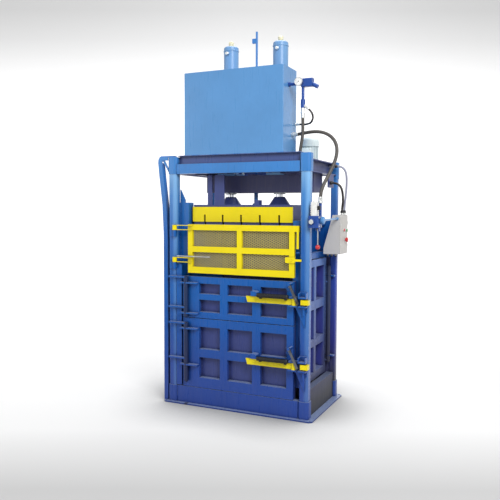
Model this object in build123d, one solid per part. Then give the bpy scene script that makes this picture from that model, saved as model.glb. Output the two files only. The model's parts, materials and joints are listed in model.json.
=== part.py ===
from build123d import *
import os
from math import cos, pi, radians, sin, tan

# Twin-cylinder vertical baler, in millimetres.
# X runs to the right along the front, Y to the back, Z up.
# The origin is on the floor, under the middle of the four columns.

# Frame
frame_width = 1320.0
frame_depth = 800.0
column_size = 80.0
rear_column_size = 60.0
column_wall = 6.0
column_corner = 20.0
rear_column_corner = 12.0
column_top = 2180.0
rear_column_drop = 30.0
base_thickness = 12.0
base_overhang_x = 47.0
base_overhang_y = 35.0
base_corner = 25.0
anchor_inset = 24.0
anchor_hole = 14.0
foot_wall = 8.0
foot_top = 157.0
cap_wall = 6.0
cap_height = 140.0
cap_plate = 8.0

# Head
beam_bottom = 2040.0
beam_step = 2125.0
beam_top = 2200.0
beam_recess = 50.0
beam_wall = 6.0
side_beam_reach = 64.0
side_beam_setback = 4.0
side_beam_top = 2145.0
side_beam_wall = 8.0
rail_centre = 400.0
rail_width = 60.0
press_beam_bottom = 1880.0
press_beam_top = 2030.0
press_beam_width = 40.0
press_beam_wall = 8.0
press_beam_gap = 140.0
press_beam_left = 430.0
hanger_thickness = 12.0
strap_half = 30.0
strap_thickness = 10.0
tank_post_width = 40.0
tank_post_x = 395.0
tank_post_depth = 60.0
cable_lug_bottom = 1925.0
cable_lug_front = 110.0
cable_lug_rear = 250.0

# Chamber
chamber_margin = 86.0
wall_skin = 6.0
wall_top = 1640.0
jamb_post_top = 1790.0
jamb_post_depth = 85.0
left_rib_depth = 60.0
rib_width = 50.0
wall_ribs = [300.0, 620.0, 940.0, 1260.0]
rear_ribs = [433.0, 720.0, 943.0, 1240.0]
rear_uprights = [-160.0, 110.0]
rear_rib = 16.0
post_gusset_width = 47.0
post_gusset_height = 115.0
floor_top = 158.0
floor_skin = 12.0
bearer_half = 30.0
tie_width = 40.0
tie_inset = 13.0
jamb_front = 70.0
jamb_thickness = 17.0
jamb_lip = 18.0
side_sill_top = 240.0
side_sill_width = 60.0
side_sill_wall = 6.0
side_opening_bottom = 250.0
side_opening_top = 1300.0
side_opening_gap = 4.0
sill_depth = 60.0
sill_wall = 6.0

# Front doors
door_left_lap = 20.0
door_right_lap = 35.0
door_setback = 2.0
door_depth = 58.0
door_skin = 8.0
door_bottom = 162.0
door_split = 778.0
door_split_gap = 6.0
door_top = 1143.0
upper_rails = [(781.0, 834.0), (943.0, 994.0), (1085.0, 1143.0)]
lower_rails = [(162.0, 251.0), (433.0, 506.0), (703.0, 775.0)]
hinge_stile = 162.0
lock_stile = 58.0
middle_stiles = [(-148.0, -76.0), (158.0, 234.0)]
hinge_tube_radius = 19.0
hinge_bore = 10.1
hinge_pin_radius = 10.04
hinge_plate = 12.0
hinge_side_gap = 0.5
hinge_web = 12.0
door_axis_inset = 44.0
door_axis_forward = 22.0
upper_plates = [865.0, 1131.0]
upper_straps = [814.0, 1082.0]
upper_tube_bottom = 790.0
lower_plates = [411.0, 723.0]
lower_straps = [357.0, 679.0]
lower_tube_bottom = 213.0
strap_tail = 55.0
bracket_inset = 20.0
backing_width = 52.0
backing_bottom = 165.0
backing_top = 1250.0

# Door locks
lock_axis_reach = 23.0
lock_axis_forward = 40.0
lock_height = 985.0
lock_drop = 527.0
bar_length = 430.0
bar_height = 50.0
bar_thickness = 16.0
bar_tip_cut = 14.0
boss_radius = 22.0
boss_height = 58.0
lock_pin_radius = 10.0
lock_washer_radius = 15.0
running_gap = 0.06
clevis_plate = 10.0
clevis_lap = 24.0
clevis_reach = 49.0
clevis_forward = 62.0
rest_width = 50.0
rest_inset = 50.0
grip_inset = 37.0
grip_length = 275.0
grip_radius = 19.0
grip_offset = 36.0
grip_rise = 42.0
grip_arm = 18.0
keeper_inset = 32.0
keeper_reach = 16.0
keeper_height = 40.0
keeper_depth = 48.0
catch_pivot_inset = 12.0
catch_rise = 143.0
catch_tip_reach = 12.0
catch_width = 22.0
catch_thickness = 8.0
catch_pin_radius = 6.0
catch_washer_radius = 11.0
ear_radius = 14.0
ear_inset = 41.0
gusset_drop = 215.0
gusset_reach = 32.0
bracket_plate = 10.0
keeper_bolt_inset = 50.0
keeper_bolt_forward = 36.0
keeper_bolt_radius = 9.0

# Feed gate
gate_left_inset = 54.0
gate_right_lap = 5.0
gate_bottom = 1175.0
gate_top = 1600.0
gate_depth = 30.0
gate_forward = 5.0
gate_stile = 45.0
gate_rail = 50.0
gate_mid = 1384.0
gate_centre = 38.0
gate_rail_overhang = 38.0
gate_flat_width = 18.0
gate_flat_bottom = 1412.0
gate_axis_reach = 5.0
gate_axis_forward = 22.0
gate_hinges = [1288.0, 1571.0]
gate_pin_radius = 7.0
gate_strap = 6.0
gate_barrel = 44.0
gate_barrel_radius = 20.0
gate_post = 58.0
gate_post_radius = 14.0
gate_tab_height = 1378.0
gate_rod_reach = 234.0
latch_rise = 40.5
latch_stud_radius = 6.0
mesh_thickness = 3.0
mesh_strand = 9.0
mesh_columns = 8
mesh_rows = 3

# Side door
side_door_axis_reach = 27.0
side_door_axis_inset = 48.0
side_door_gap = 13.0
side_door_rear_gap = 40.0
side_rails = [(250.0, 310.0), (541.0, 604.0), (866.0, 940.0), (1237.0, 1298.0)]
side_stile = 50.0
side_plates = [394.0, 1128.0]
side_straps = [354.0, 1074.0]
side_tube_bottom = 346.0
side_tube_top = 1222.0
side_handle_radius = 8.0
side_handle_span = (700.0, 860.0)
side_handle_reach = 30.0

# Press
cylinder_x = 240.0
barrel_radius = 66.5
barrel_wall = 11.5
barrel_bottom = 1890.0
barrel_top = 3188.0
barrel_lid = 25.0
flange_thickness = 20.0
flange_x = 190.0
flange_y = 212.0
gland_bottom = 1868.0
gland_radius = 52.0
gland_sleeve = 60.0
rod_radius = 30.0
piston_length = 60.0
piston_room = 40.0
plug_radius = 23.0
plug_height = 50.0
platen_bottom = 1590.0
platen_top = 1771.0
platen_side_gap = 24.0
platen_setback = 120.0
platen_rear_gap = 7.0
platen_skin = 20.0
platen_web = 12.0
pocket_half = 100.0
slot_width = 17.0
slot_top = 1684.0
slot_pitch = 177.0
face_plate_bottom = 1622.0
face_plate_top = 1752.0
face_plate_overhang = 5.0
face_plate_thickness = 12.0
seat_height = 73.0
seat_depth = 30.0
seat_top_radius = 46.0
seat_foot_radius = 95.0
guide_plates = [(-330.0, -288.0), (-262.0, -168.0)]
guide_plate_thickness = 12.0
guide_plate_top = 2030.0
shoe_span = (120.0, 165.0)
shoe_depth = 60.0
shoe_height = 40.0
indicator_x = 12.0
indicator_radius = 9.5
indicator_tube_radius = 18.0
indicator_tube_top = 1985.0
indicator_top = 3300.0
indicator_clamp = 40.0

# Hydraulics
tank_left_inset = 155.0
tank_right_inset = 239.0
tank_front = 15.0
tank_barrel_gap = 13.5
tank_height = 706.0
tank_wall = 4.0
tank_cover_radius = 80.0
tank_cover_offset = 50.0
tank_cover_rise = 260.0
tank_cover_thickness = 8.0
filler_radius = 26.0
motor_inset = 143.0
motor_radius = 78.0
motor_top = 2350.0
motor_shelf = 12.0
motor_shelf_half = 78.0
motor_flange_radius = 64.0
motor_cowl_height = 78.0
motor_fins = 20
terminal_half = 45.0
pump_radius = 50.0
pump_length = 170.0
pump_port_drop = 65.0
pump_port_reach = 40.0
gauge_port = (573.0, -262.0, 2571.0)
gauge_port_turn = 130.0
gauge_y = -262.0
gauge_z = 2762.0
relief_body_left = 115.0
relief_body_right = 210.0
relief_pipe = 125.0
gauge_centre = 104.0
gauge_radius = 34.0
manifold_reach = 46.0
manifold_half = 42.0
manifold_front_reach = 40.0
manifold_rear_reach = 60.0
manifold_bottom = 1586.0
manifold_top = 1682.0
solenoid_top = 1792.0
neck_offset = 29.0
neck_inset = 88.0
neck_rise = 8.0
neck_radius = 12.0
valve_lever_offset = 26.0
valve_lever_drop = 140.0
valve_ball_radius = 19.0
valve_pivot_drop = 14.0
valve_pivot_radius = 5.0
valve_lever_half = 7.0

# Control box
box_reach = 108.0
box_slope_reach = 42.0
box_foot_reach = 38.0
box_slope_start = 50.0
box_front_inset = 255.0
box_rear_inset = 25.0
box_bottom = 1345.0
box_top = 1686.0
box_wall = 2.5
box_cover_thickness = 3.0
gland_pitch = 36.0
gland_size = 10.0
button_radius = 13.0
estop_radius = 20.0
button_insets = {
    "stop_button": (105.0, 208.0),
    "start_button": (189.0, 204.0),
    "emergency_stop": (151.0, 122.0),
}

# Left stay, an angle bar that leans outwards and hooks over the column cap
stay_gap = 13.0
stay_width = 40.0
stay_thickness = 8.0
stay_leg = 50.0
stay_leg_thickness = 6.0
stay_bend = 1500.0
stay_leans = [(1768.0, 12.0), (2034.0, 44.0), (2141.0, 55.0)]
stay_top = 2200.0
stay_hook = 60.0
stay_round = 30.0

# Derived places
half_width = frame_width / 2
front = -frame_depth / 2
rear = frame_depth / 2
column_inner = half_width - column_size
column_back = front + column_size
rear_inner = half_width - rear_column_size
rear_face = rear - rear_column_size
rear_column_top = column_top - rear_column_drop
side_beam_inner = half_width - side_beam_reach
chamber_half = column_inner - chamber_margin
chamber_rear = rear_face
jamb_y = front + jamb_front
jamb_back = jamb_y + jamb_thickness
door_left = -chamber_half - door_left_lap
door_right = chamber_half + door_right_lap
door_front = front + door_setback
door_back = door_front + door_depth
door_stiles = [(door_left, door_left + hinge_stile)] + middle_stiles + [(door_right - lock_stile, door_right)]
door_axis_x = door_left + door_axis_inset
door_axis_y = front - door_axis_forward
lock_axis_x = door_right + lock_axis_reach
lock_axis_y = front - lock_axis_forward
bar_left = lock_axis_x - bar_length
grip_right = lock_axis_x - grip_inset
keeper_bolt_x = column_inner + keeper_bolt_inset
keeper_bolt_y = front - keeper_bolt_forward
catch_pivot_x = door_right - catch_pivot_inset
catch_tip_x = column_inner + catch_tip_reach
gate_left = door_left + gate_left_inset
gate_right = door_right + gate_right_lap
gate_rail_end = gate_right + gate_rail_overhang
gate_axis_x = -column_inner - gate_axis_reach
gate_axis_y = front - gate_axis_forward
gate_front = front - gate_forward
gate_back = gate_front + gate_depth
latch_x = gate_right - gate_stile / 2
latch_z = (gate_bottom + gate_mid) / 2 + latch_rise
side_door_face = column_inner
side_door_axis_x = column_inner + side_door_axis_reach
side_door_axis_y = rear_face - side_door_axis_inset
side_door_front = jamb_back + side_door_gap
side_door_rear = rear_face - side_door_rear_gap
platen_half = chamber_half - platen_side_gap
platen_front = front + platen_setback
platen_rear = chamber_rear - platen_rear_gap
face_plate_half = platen_half + face_plate_overhang
piston_top = barrel_top - barrel_lid - piston_room
tank_left = -half_width + tank_left_inset
tank_right = half_width - tank_right_inset
tank_rear = -barrel_radius - tank_barrel_gap
motor_x = half_width - motor_inset
motor_foot = beam_step + motor_shelf
manifold_x = half_width + manifold_reach
manifold_front = front - manifold_front_reach
manifold_rear = front + manifold_rear_reach
valve_lever_x = manifold_x + valve_lever_offset
valve_lever_y = front
valve_pivot_z = manifold_bottom - valve_pivot_drop
box_face = half_width + box_reach
box_front = rear_face - box_front_inset
box_rear = rear_face - box_rear_inset
stay_right = -half_width - stay_gap


def block(x0, x1, y0, y1, z0, z1):
    return Pos((x0 + x1) / 2, (y0 + y1) / 2, (z0 + z1) / 2) * Box(abs(x1 - x0), abs(y1 - y0), abs(z1 - z0))


def rod_z(x, y, z0, z1, radius):
    return Pos(x, y, (z0 + z1) / 2) * Cylinder(radius, abs(z1 - z0))


def rod_y(x, z, y0, y1, radius):
    return Pos(x, (y0 + y1) / 2, z) * Rot(90, 0, 0) * Cylinder(radius, abs(y1 - y0))


def rod_x(y, z, x0, x1, radius):
    return Pos((x0 + x1) / 2, y, z) * Rot(0, 90, 0) * Cylinder(radius, abs(x1 - x0))


def cone_z(x, y, z0, z1, r0, r1):
    return Pos(x, y, (z0 + z1) / 2) * Cone(r0, r1, abs(z1 - z0))


def plate_xz(points, y0, y1):
    face = Plane.XZ * make_face(Polyline(*points, close=True))
    return Pos(0, y1, 0) * extrude(face, y1 - y0)


def join(pieces):
    result = pieces[0]
    for piece in pieces[1:]:
        result = result + piece
    return result


def tube_x(x0, x1, y0, y1, z0, z1, wall):
    y0, y1 = min(y0, y1), max(y0, y1)
    return block(x0, x1, y0, y1, z0, z1) - block(x0 - 1, x1 + 1, y0 + wall, y1 - wall, z0 + wall, z1 - wall)


def tube_y(x0, x1, y0, y1, z0, z1, wall):
    x0, x1 = min(x0, x1), max(x0, x1)
    return block(x0, x1, y0, y1, z0, z1) - block(x0 + wall, x1 - wall, y0 - 1, y1 + 1, z0 + wall, z1 - wall)


def square_tube(x, y, z0, z1, size, wall, corner):
    outer = RectangleRounded(size, size, corner)
    inner = RectangleRounded(size - 2 * wall, size - 2 * wall, max(corner - wall, 1.0))
    return Pos(x, y, z0) * extrude(outer - inner, z1 - z0)


# Base and columns


def column_places():
    x = half_width - column_size / 2
    y = rear - column_size / 2
    rear_x = half_width - rear_column_size / 2
    rear_y = rear - rear_column_size / 2
    return {
        "front_left": (-x, -y, column_size, column_corner, column_top),
        "front_right": (x, -y, column_size, column_corner, column_top),
        "rear_left": (-rear_x, rear_y, rear_column_size, rear_column_corner, rear_column_top),
        "rear_right": (rear_x, rear_y, rear_column_size, rear_column_corner, rear_column_top),
    }


def anchor_places():
    x = half_width + base_overhang_x - anchor_inset
    y = rear + base_overhang_y - anchor_inset
    return [(sx * x, sy * y) for sx in (-1, 1) for sy in (-1, 1)]


def make_base_plate():
    width = frame_width + 2 * base_overhang_x
    depth = frame_depth + 2 * base_overhang_y
    plate = extrude(Rectangle(width, depth), base_thickness)
    plate = chamfer(plate.edges().filter_by(Axis.Z), base_corner)
    for x, y, column, corner, _ in column_places().values():
        size = column + 2 * foot_wall
        plate = plate + square_tube(x, y, base_thickness, foot_top, size, foot_wall, corner + foot_wall)
    for x, y in anchor_places():
        plate = plate - rod_z(x, y, -1, base_thickness + 1, anchor_hole / 2)
    return plate


def make_columns():
    return {
        "column_" + name: square_tube(x, y, base_thickness, top, size, column_wall, corner)
        for name, (x, y, size, corner, top) in column_places().items()
    }


def make_column_caps():
    caps = []
    for x, y, column, corner, top in column_places().values():
        size = column + 2 * cap_wall
        sleeve = square_tube(x, y, top - cap_height, top, size, cap_wall, corner + cap_wall)
        lid = Pos(x, y, top) * extrude(RectangleRounded(size, size, corner + cap_wall), cap_plate)
        caps.append(sleeve + lid)
    return caps


# Head


def make_front_beam():
    end = column_inner - cap_wall
    beam = tube_x(-end, end, front, column_back, beam_bottom, beam_step, beam_wall)
    web_y = front + beam_recess
    web = block(-end, end, web_y, web_y + beam_wall, beam_step, beam_top)
    flange = block(-end, end, front + tank_front, column_back, beam_top - beam_wall, beam_top)
    return beam + web + flange


def make_rear_beam():
    end = rear_inner - cap_wall
    return tube_x(-end, end, rear_face, rear, beam_bottom, rear_column_top, beam_wall)


def make_side_beam(side):
    # A channel, open to the outside.
    outer = half_width - side_beam_setback
    y0 = column_back + cap_wall
    y1 = rear_face - cap_wall
    beam = block(side * side_beam_inner, side * outer, y0, y1, beam_bottom, side_beam_top)
    beam = beam - block(
        side * (side_beam_inner + side_beam_wall), side * (outer + 1), y0 - 1, y1 + 1,
        beam_bottom + side_beam_wall, side_beam_top - side_beam_wall,
    )
    if side > 0:
        # A lug below the right channel leads the cable of the valve.
        beam = beam + block(
            outer - hanger_thickness, outer, cable_lug_front, cable_lug_rear, cable_lug_bottom, beam_bottom,
        )
    return beam


def make_press_beams():
    hanger_left = side_beam_inner - hanger_thickness
    y0 = press_beam_gap / 2
    y1 = y0 + press_beam_width
    # The hanger plate ties the right ends to the side beam.
    parts = [block(hanger_left, side_beam_inner, -y1, y1, press_beam_bottom, beam_step)]
    for side in (-1, 1):
        parts.append(tube_x(
            -press_beam_left, hanger_left, side * y0, side * y1,
            press_beam_bottom, press_beam_top, press_beam_wall,
        ))
        # Rails from the front beam to the rear beam, with a post under the back of the oil tank.
        x0 = side * (rail_centre - rail_width / 2)
        x1 = side * (rail_centre + rail_width / 2)
        parts.append(tube_y(x0, x1, column_back, rear_face, press_beam_top, beam_step, beam_wall))
        post_x = side * tank_post_x
        parts.append(block(
            post_x - tank_post_width / 2, post_x + tank_post_width / 2,
            tank_rear - tank_post_depth, tank_rear, beam_step, beam_top,
        ))
    # A strap across both beams guides the indicator rod.
    strap = block(
        indicator_x - strap_half, indicator_x + strap_half, -y1, y1,
        press_beam_top, press_beam_top + strap_thickness,
    )
    parts.append(strap - rod_z(
        indicator_x, 0, press_beam_top - 1, press_beam_top + strap_thickness + 1, indicator_radius + 0.08,
    ))
    return [join(parts)]


# Chamber


def make_front_sill():
    end = column_inner - foot_wall
    return tube_x(-end, end, front, front + sill_depth, base_thickness, floor_top, sill_wall)


def slot_places():
    return [slot_pitch * (i - 2) for i in range(5)]


def make_floor_frame():
    low = floor_top - floor_skin
    plate = block(-chamber_half, chamber_half, jamb_back, chamber_rear, low, floor_top)
    for x in slot_places():
        plate = plate - block(
            x - slot_width / 2, x + slot_width / 2, jamb_back - 1, chamber_rear + 1, low - 1, floor_top + 1,
        )
    # Bearers between the strap slots, and a tie under each end of them.
    edges = [-chamber_half] + slot_places() + [chamber_half]
    for left, right in zip(edges, edges[1:]):
        x = (left + right) / 2
        plate = plate + tube_y(
            x - bearer_half, x + bearer_half, jamb_back, chamber_rear, base_thickness, low, sill_wall,
        )
    sill_inner = column_inner + 5
    sill_outer = sill_inner + side_sill_width
    for y in (jamb_back + tie_inset, chamber_rear - tie_inset - tie_width):
        plate = plate + block(-sill_inner - 1, sill_inner + 1, y, y + tie_width, base_thickness, low - 40)
    for side in (-1, 1):
        plate = plate + tube_y(
            side * sill_inner, side * sill_outer, column_back + foot_wall + 1, rear_face - foot_wall - 1,
            base_thickness, side_sill_top, side_sill_wall,
        )
    # The fixed strip of wall under the side door.
    strip = block(
        chamber_half, chamber_half + wall_skin, jamb_back, chamber_rear,
        base_thickness, side_opening_bottom - side_opening_gap,
    )
    return plate + strip


def make_left_wall():
    z0 = floor_top - floor_skin - 40
    outer = -chamber_half - wall_skin
    parts = [block(outer, -chamber_half, jamb_y, chamber_rear, z0, wall_top)]
    for z in wall_ribs + [wall_top - rib_width]:
        parts.append(tube_y(outer - left_rib_depth, outer, jamb_back, chamber_rear, z, z + rib_width, wall_skin))
    # The front jamb runs on upwards as a post beside the platen, with a gusset to the column.
    parts.append(block(-column_inner, outer, jamb_y, jamb_back, floor_top, jamb_post_top))
    parts.append(block(
        -column_inner, -column_inner + wall_skin, jamb_y - jamb_lip, jamb_back, floor_top, jamb_post_top,
    ))
    parts.append(block(
        outer, -chamber_half, jamb_y, jamb_y + jamb_post_depth, wall_top - 1, jamb_post_top,
    ))
    parts.append(plate_xz(
        [
            (-column_inner, jamb_post_top - 1),
            (-column_inner + post_gusset_width, jamb_post_top - 1),
            (-column_inner + post_gusset_width, jamb_post_top + post_gusset_width / 2),
            (-column_inner, jamb_post_top + post_gusset_height),
        ],
        jamb_y, jamb_back,
    ))
    parts.append(block(
        -rear_inner - 10, outer, chamber_rear - jamb_thickness, chamber_rear, side_sill_top + 1, wall_top,
    ))
    return join(parts)


def make_rear_wall():
    y0 = chamber_rear
    y1 = rear - 8
    parts = [block(-rear_inner, rear_inner, y0, y0 + wall_skin, floor_top, wall_top)]
    for z in [floor_top] + rear_ribs + [wall_top - rear_rib]:
        parts.append(block(-rear_inner, rear_inner, y0 + wall_skin, y1, z, z + rear_rib))
    for x in [-rear_inner] + rear_uprights + [rear_inner - rear_rib]:
        parts.append(block(x, x + rear_rib, y0 + wall_skin, y1, floor_top, wall_top))
    return join(parts)


def make_right_wall():
    x0 = chamber_half
    x1 = chamber_half + wall_skin
    z0 = side_opening_top + side_opening_gap
    parts = [block(x0, x1, jamb_y, chamber_rear, z0, wall_top)]
    for z in (z0, wall_top - rib_width):
        parts.append(tube_y(x1, x1 + left_rib_depth, jamb_back, chamber_rear, z, z + rib_width, wall_skin))
    # The front jamb runs down beside the side door.
    parts.append(block(x0, column_inner, jamb_y, jamb_back, side_opening_bottom, wall_top))
    parts.append(block(
        column_inner - wall_skin, column_inner, jamb_y - jamb_lip, jamb_back, side_opening_bottom, wall_top,
    ))
    parts.append(block(x0, rear_inner + 10, chamber_rear - jamb_thickness, chamber_rear, z0, wall_top))
    return join(parts)


def make_left_stay():
    y0 = front + door_setback
    y1 = y0 + stay_thickness
    leg_y = y0 + stay_leg
    cap_side = -half_width - cap_wall
    cap_top = column_top + cap_plate
    right_edge = [(stay_right, base_thickness), (stay_right, stay_bend)]
    right_edge += [(stay_right - lean, z) for z, lean in stay_leans]
    left_edge = [(x - stay_width, z) for x, z in right_edge]
    bend_x = left_edge[-1][0]
    crown = [
        (bend_x + stay_round * 0.1, stay_top - stay_round),
        (bend_x + stay_round * 0.5, stay_top - stay_round * 0.3),
        (bend_x + stay_round, stay_top),
        (cap_side, stay_top),
        (cap_side, stay_top - stay_width),
        (right_edge[-1][0] + 6, stay_top - stay_width),
    ]
    face = plate_xz(left_edge + crown + right_edge[::-1], y0, y1)
    inner_edge = [(x - stay_leg_thickness, z) for x, z in right_edge]
    leg = plate_xz(inner_edge + right_edge[::-1], y0, leg_y)
    # The hook lies on the cap, and a slanting strap ties the stay to its side.
    hook = block(bend_x + stay_round, cap_side + stay_hook, y0, leg_y, cap_top, stay_top)
    strap_top = stay_top - stay_width + 12
    strap_low = column_top - cap_height + 20
    strap = plate_xz(
        [
            (right_edge[-1][0] - 4, strap_top),
            (right_edge[-1][0] + 18, strap_top),
            (cap_side, strap_low + 30),
            (cap_side, strap_low),
        ],
        y1 - 1, y1 + stay_thickness,
    )
    return face + leg + hook + strap


# Front doors


def hinged_tube(axis_x, axis_y, bottom, top, plates):
    edges = [bottom]
    for z in plates:
        edges.append(z - hinge_side_gap)
        edges.append(z + hinge_plate + hinge_side_gap)
    edges.append(top)
    pieces = []
    for low, high in zip(edges[0::2], edges[1::2]):
        if high - low > 1:
            pieces.append(rod_z(axis_x, axis_y, low, high, hinge_tube_radius))
    return pieces


def make_door(z0, z1, rails, tube_bottom, plates, straps, lock_z):
    skin_front = door_back - door_skin
    parts = [block(door_left, door_right, skin_front, door_back, z0, z1)]
    for low, high in rails:
        parts.append(block(door_left, door_right, door_front, skin_front, low, high))
    for left, right in door_stiles:
        parts.append(block(left, right, door_front, skin_front, z0, z1))
    door = join(parts)
    # The hinge tube is tied to the door by a web all the way up and by the strap plates.
    tube_top = plates[-1] - hinge_side_gap
    for piece in hinged_tube(door_axis_x, door_axis_y, tube_bottom, tube_top, plates[:-1]):
        box = piece.bounding_box()
        web = block(
            door_axis_x - hinge_web / 2, door_axis_x + hinge_web / 2, door_axis_y, door_front,
            box.min.Z, box.max.Z,
        )
        door = door + piece + web
    for z in straps:
        strap = block(
            door_axis_x - strap_tail, door_left + hinge_stile, door_axis_y - hinge_tube_radius, door_front,
            z, z + hinge_plate,
        )
        door = door + strap
    door = door - rod_z(door_axis_x, door_axis_y, z0 - 100, z1 + 100, hinge_bore)
    # Clevis for the lock bar, its rest, the ear, and the stud of the drop catch.
    low = lock_z - boss_height / 2 - hinge_side_gap
    high = lock_z + boss_height / 2 + hinge_side_gap
    clevis_left = door_right - clevis_lap
    for a, b in ((low - clevis_plate, low), (high, high + clevis_plate)):
        plate = block(clevis_left, door_right + clevis_reach, front - clevis_forward, front, a, b)
        door = door + plate + block(clevis_left, door_right, front, door_front, a, b)
    pin_top = high + clevis_plate + 8
    door = door + rod_z(lock_axis_x, lock_axis_y, low - clevis_plate - 5, pin_top, lock_pin_radius)
    door = door + rod_z(lock_axis_x, lock_axis_y, high + clevis_plate, pin_top, lock_washer_radius)
    rest_x = bar_left + rest_inset
    rest_z = lock_z + bar_height / 2 + 4
    door = door + plate_xz(
        [
            (rest_x, rest_z),
            (rest_x + rest_width, rest_z),
            (rest_x + rest_width, rest_z + 30),
            (rest_x + rest_width - 10, rest_z + 40),
            (rest_x, rest_z + 40),
        ],
        front - clevis_forward, door_front,
    )
    stud_z = lock_z + catch_rise
    back = catch_front() + catch_thickness + hinge_side_gap
    door = door + rod_y(catch_pivot_x, stud_z, back, door_front, catch_washer_radius)
    door = door + rod_y(catch_pivot_x, stud_z, catch_front() - 8, door_front, catch_pin_radius)
    door = door + rod_y(
        catch_pivot_x, stud_z, catch_front() - 8, catch_front() - hinge_side_gap, catch_washer_radius,
    )
    return door + rod_y(door_right - ear_inset, stud_z - 45, front - 22, door_front, ear_radius)


def catch_front():
    return front - clevis_forward - 2 - catch_thickness


def make_lock_lever(lock_z):
    y0 = lock_axis_y - bar_thickness / 2
    y1 = lock_axis_y + bar_thickness / 2
    low = lock_z - bar_height / 2
    high = lock_z + bar_height / 2
    bar = plate_xz(
        [(bar_left + bar_tip_cut, low), (lock_axis_x, low), (lock_axis_x, high), (bar_left, high)],
        y0, y1,
    )
    boss = rod_z(lock_axis_x, lock_axis_y, lock_z - boss_height / 2, lock_z + boss_height / 2, boss_radius)
    bore = rod_z(lock_axis_x, lock_axis_y, low - 20, high + 20, lock_pin_radius + running_gap)
    return bar + boss - bore


def make_lock_grip(lock_z):
    y0 = lock_axis_y - bar_thickness / 2
    z = lock_z + grip_rise
    grip_left = grip_right - grip_length
    grip = rod_x(y0 - grip_offset, z, grip_left, grip_right, grip_radius)
    grip = fillet(grip.edges().filter_by(GeomType.CIRCLE), 6)
    for x in (grip_left + grip_arm, grip_right - 2 * grip_arm):
        grip = grip + block(x, x + grip_arm, y0 - grip_offset, y0, lock_z + bar_height / 4, z)
    return grip


def make_catch(lock_z):
    stud_z = lock_z + catch_rise
    tip_z = lock_z - 12
    dx = catch_tip_x - catch_pivot_x
    dz = tip_z - stud_z
    length = (dx * dx + dz * dz) ** 0.5
    nx = -dz / length * catch_width / 2
    nz = dx / length * catch_width / 2
    y0 = catch_front()
    y1 = y0 + catch_thickness
    bar = plate_xz(
        [
            (catch_pivot_x + nx, stud_z + nz),
            (catch_pivot_x - nx, stud_z - nz),
            (catch_tip_x - nx, tip_z - nz),
            (catch_tip_x + nx, tip_z + nz),
        ],
        y0, y1,
    )
    bar = bar + rod_y(catch_pivot_x, stud_z, y0, y1, catch_width / 2)
    return bar - rod_y(catch_pivot_x, stud_z, y0 - 1, y1 + 1, catch_pin_radius + running_gap)


def make_lock_bracket(lock_z):
    x0 = column_inner + 5
    x1 = half_width - 4
    y0 = front - clevis_forward
    y1 = front - bracket_plate
    top = lock_z + boss_height / 2 + 2
    shelf_top = lock_z - 31
    shelf_low = shelf_top - bracket_plate
    back = block(x0, x1, y1, front, lock_z - 85, lock_z + 80)
    shelf = block(x0 + 7, x1 + 4, y0, y1, shelf_low, shelf_top)
    roof = block(x0 + 7, x1 + 4, y0, y1, top, top + bracket_plate)
    cheeks = block(x0 + 7, x0 + 15, y0, y1, top + bracket_plate, top + 44)
    cheeks = cheeks + block(x1 - 4, x1 + 4, y0, y1, top + bracket_plate, top + 44)
    gusset = plate_xz(
        [
            (column_inner - gusset_reach, shelf_low - 2),
            (half_width - 20, shelf_low - 2),
            (half_width - 28, lock_z - gusset_drop),
        ],
        y1, front,
    )
    hole = rod_z(keeper_bolt_x, keeper_bolt_y, shelf_low - 1, shelf_top + 1, keeper_bolt_radius)
    return back + (shelf - hole) + roof + cheeks + gusset


def make_lock_keeper(lock_z):
    low = lock_z - keeper_height / 2
    y1 = front - bracket_plate
    return block(
        column_inner + keeper_inset, half_width + keeper_reach, y1 - keeper_depth, y1, low, low + keeper_height,
    )


def make_hinge_brackets():
    y0 = door_axis_y - hinge_tube_radius
    # An angle beside the left column backs the plates of both doors.
    backing = block(
        -column_inner, -column_inner + backing_width, front, front + hinge_plate, backing_bottom, backing_top,
    )
    backing = backing + block(
        -column_inner, -column_inner + hinge_plate, front, jamb_y - 20, backing_bottom, backing_top,
    )
    for z in lower_plates + upper_plates:
        backing = backing + block(-half_width + bracket_inset, door_axis_x, y0, front, z, z + hinge_plate)
        backing = backing + rod_z(door_axis_x, door_axis_y, z, z + hinge_plate, hinge_tube_radius)
    backing = backing - rod_z(door_axis_x, door_axis_y, backing_bottom, backing_top, hinge_bore)
    brackets = [backing]
    for z in gate_hinges:
        high = z - gate_barrel / 2 - hinge_side_gap
        low = high - gate_post
        post = rod_z(gate_axis_x, gate_axis_y, low, high, gate_post_radius)
        post = post + block(
            gate_axis_x - gate_post, gate_axis_x + gate_post_radius, gate_axis_y + 10, front, low, high,
        )
        brackets.append(post - rod_z(gate_axis_x, gate_axis_y, low + 10, high + 1, gate_pin_radius + running_gap))
    for z in side_plates:
        plate = block(
            side_door_axis_x - 17, half_width - 3, side_door_axis_y, rear_face, z, z + hinge_plate,
        )
        plate = plate + rod_z(side_door_axis_x, side_door_axis_y, z, z + hinge_plate, hinge_tube_radius)
        brackets.append(
            plate - rod_z(side_door_axis_x, side_door_axis_y, z - 1, z + hinge_plate + 1, hinge_bore)
        )
    # Tab on the right column under the end of the gate's upper rail.
    brackets.append(block(
        gate_right + 14, column_inner, front, gate_back + 5, gate_tab_height, gate_tab_height + 8,
    ))
    return brackets


# Feed gate


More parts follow.
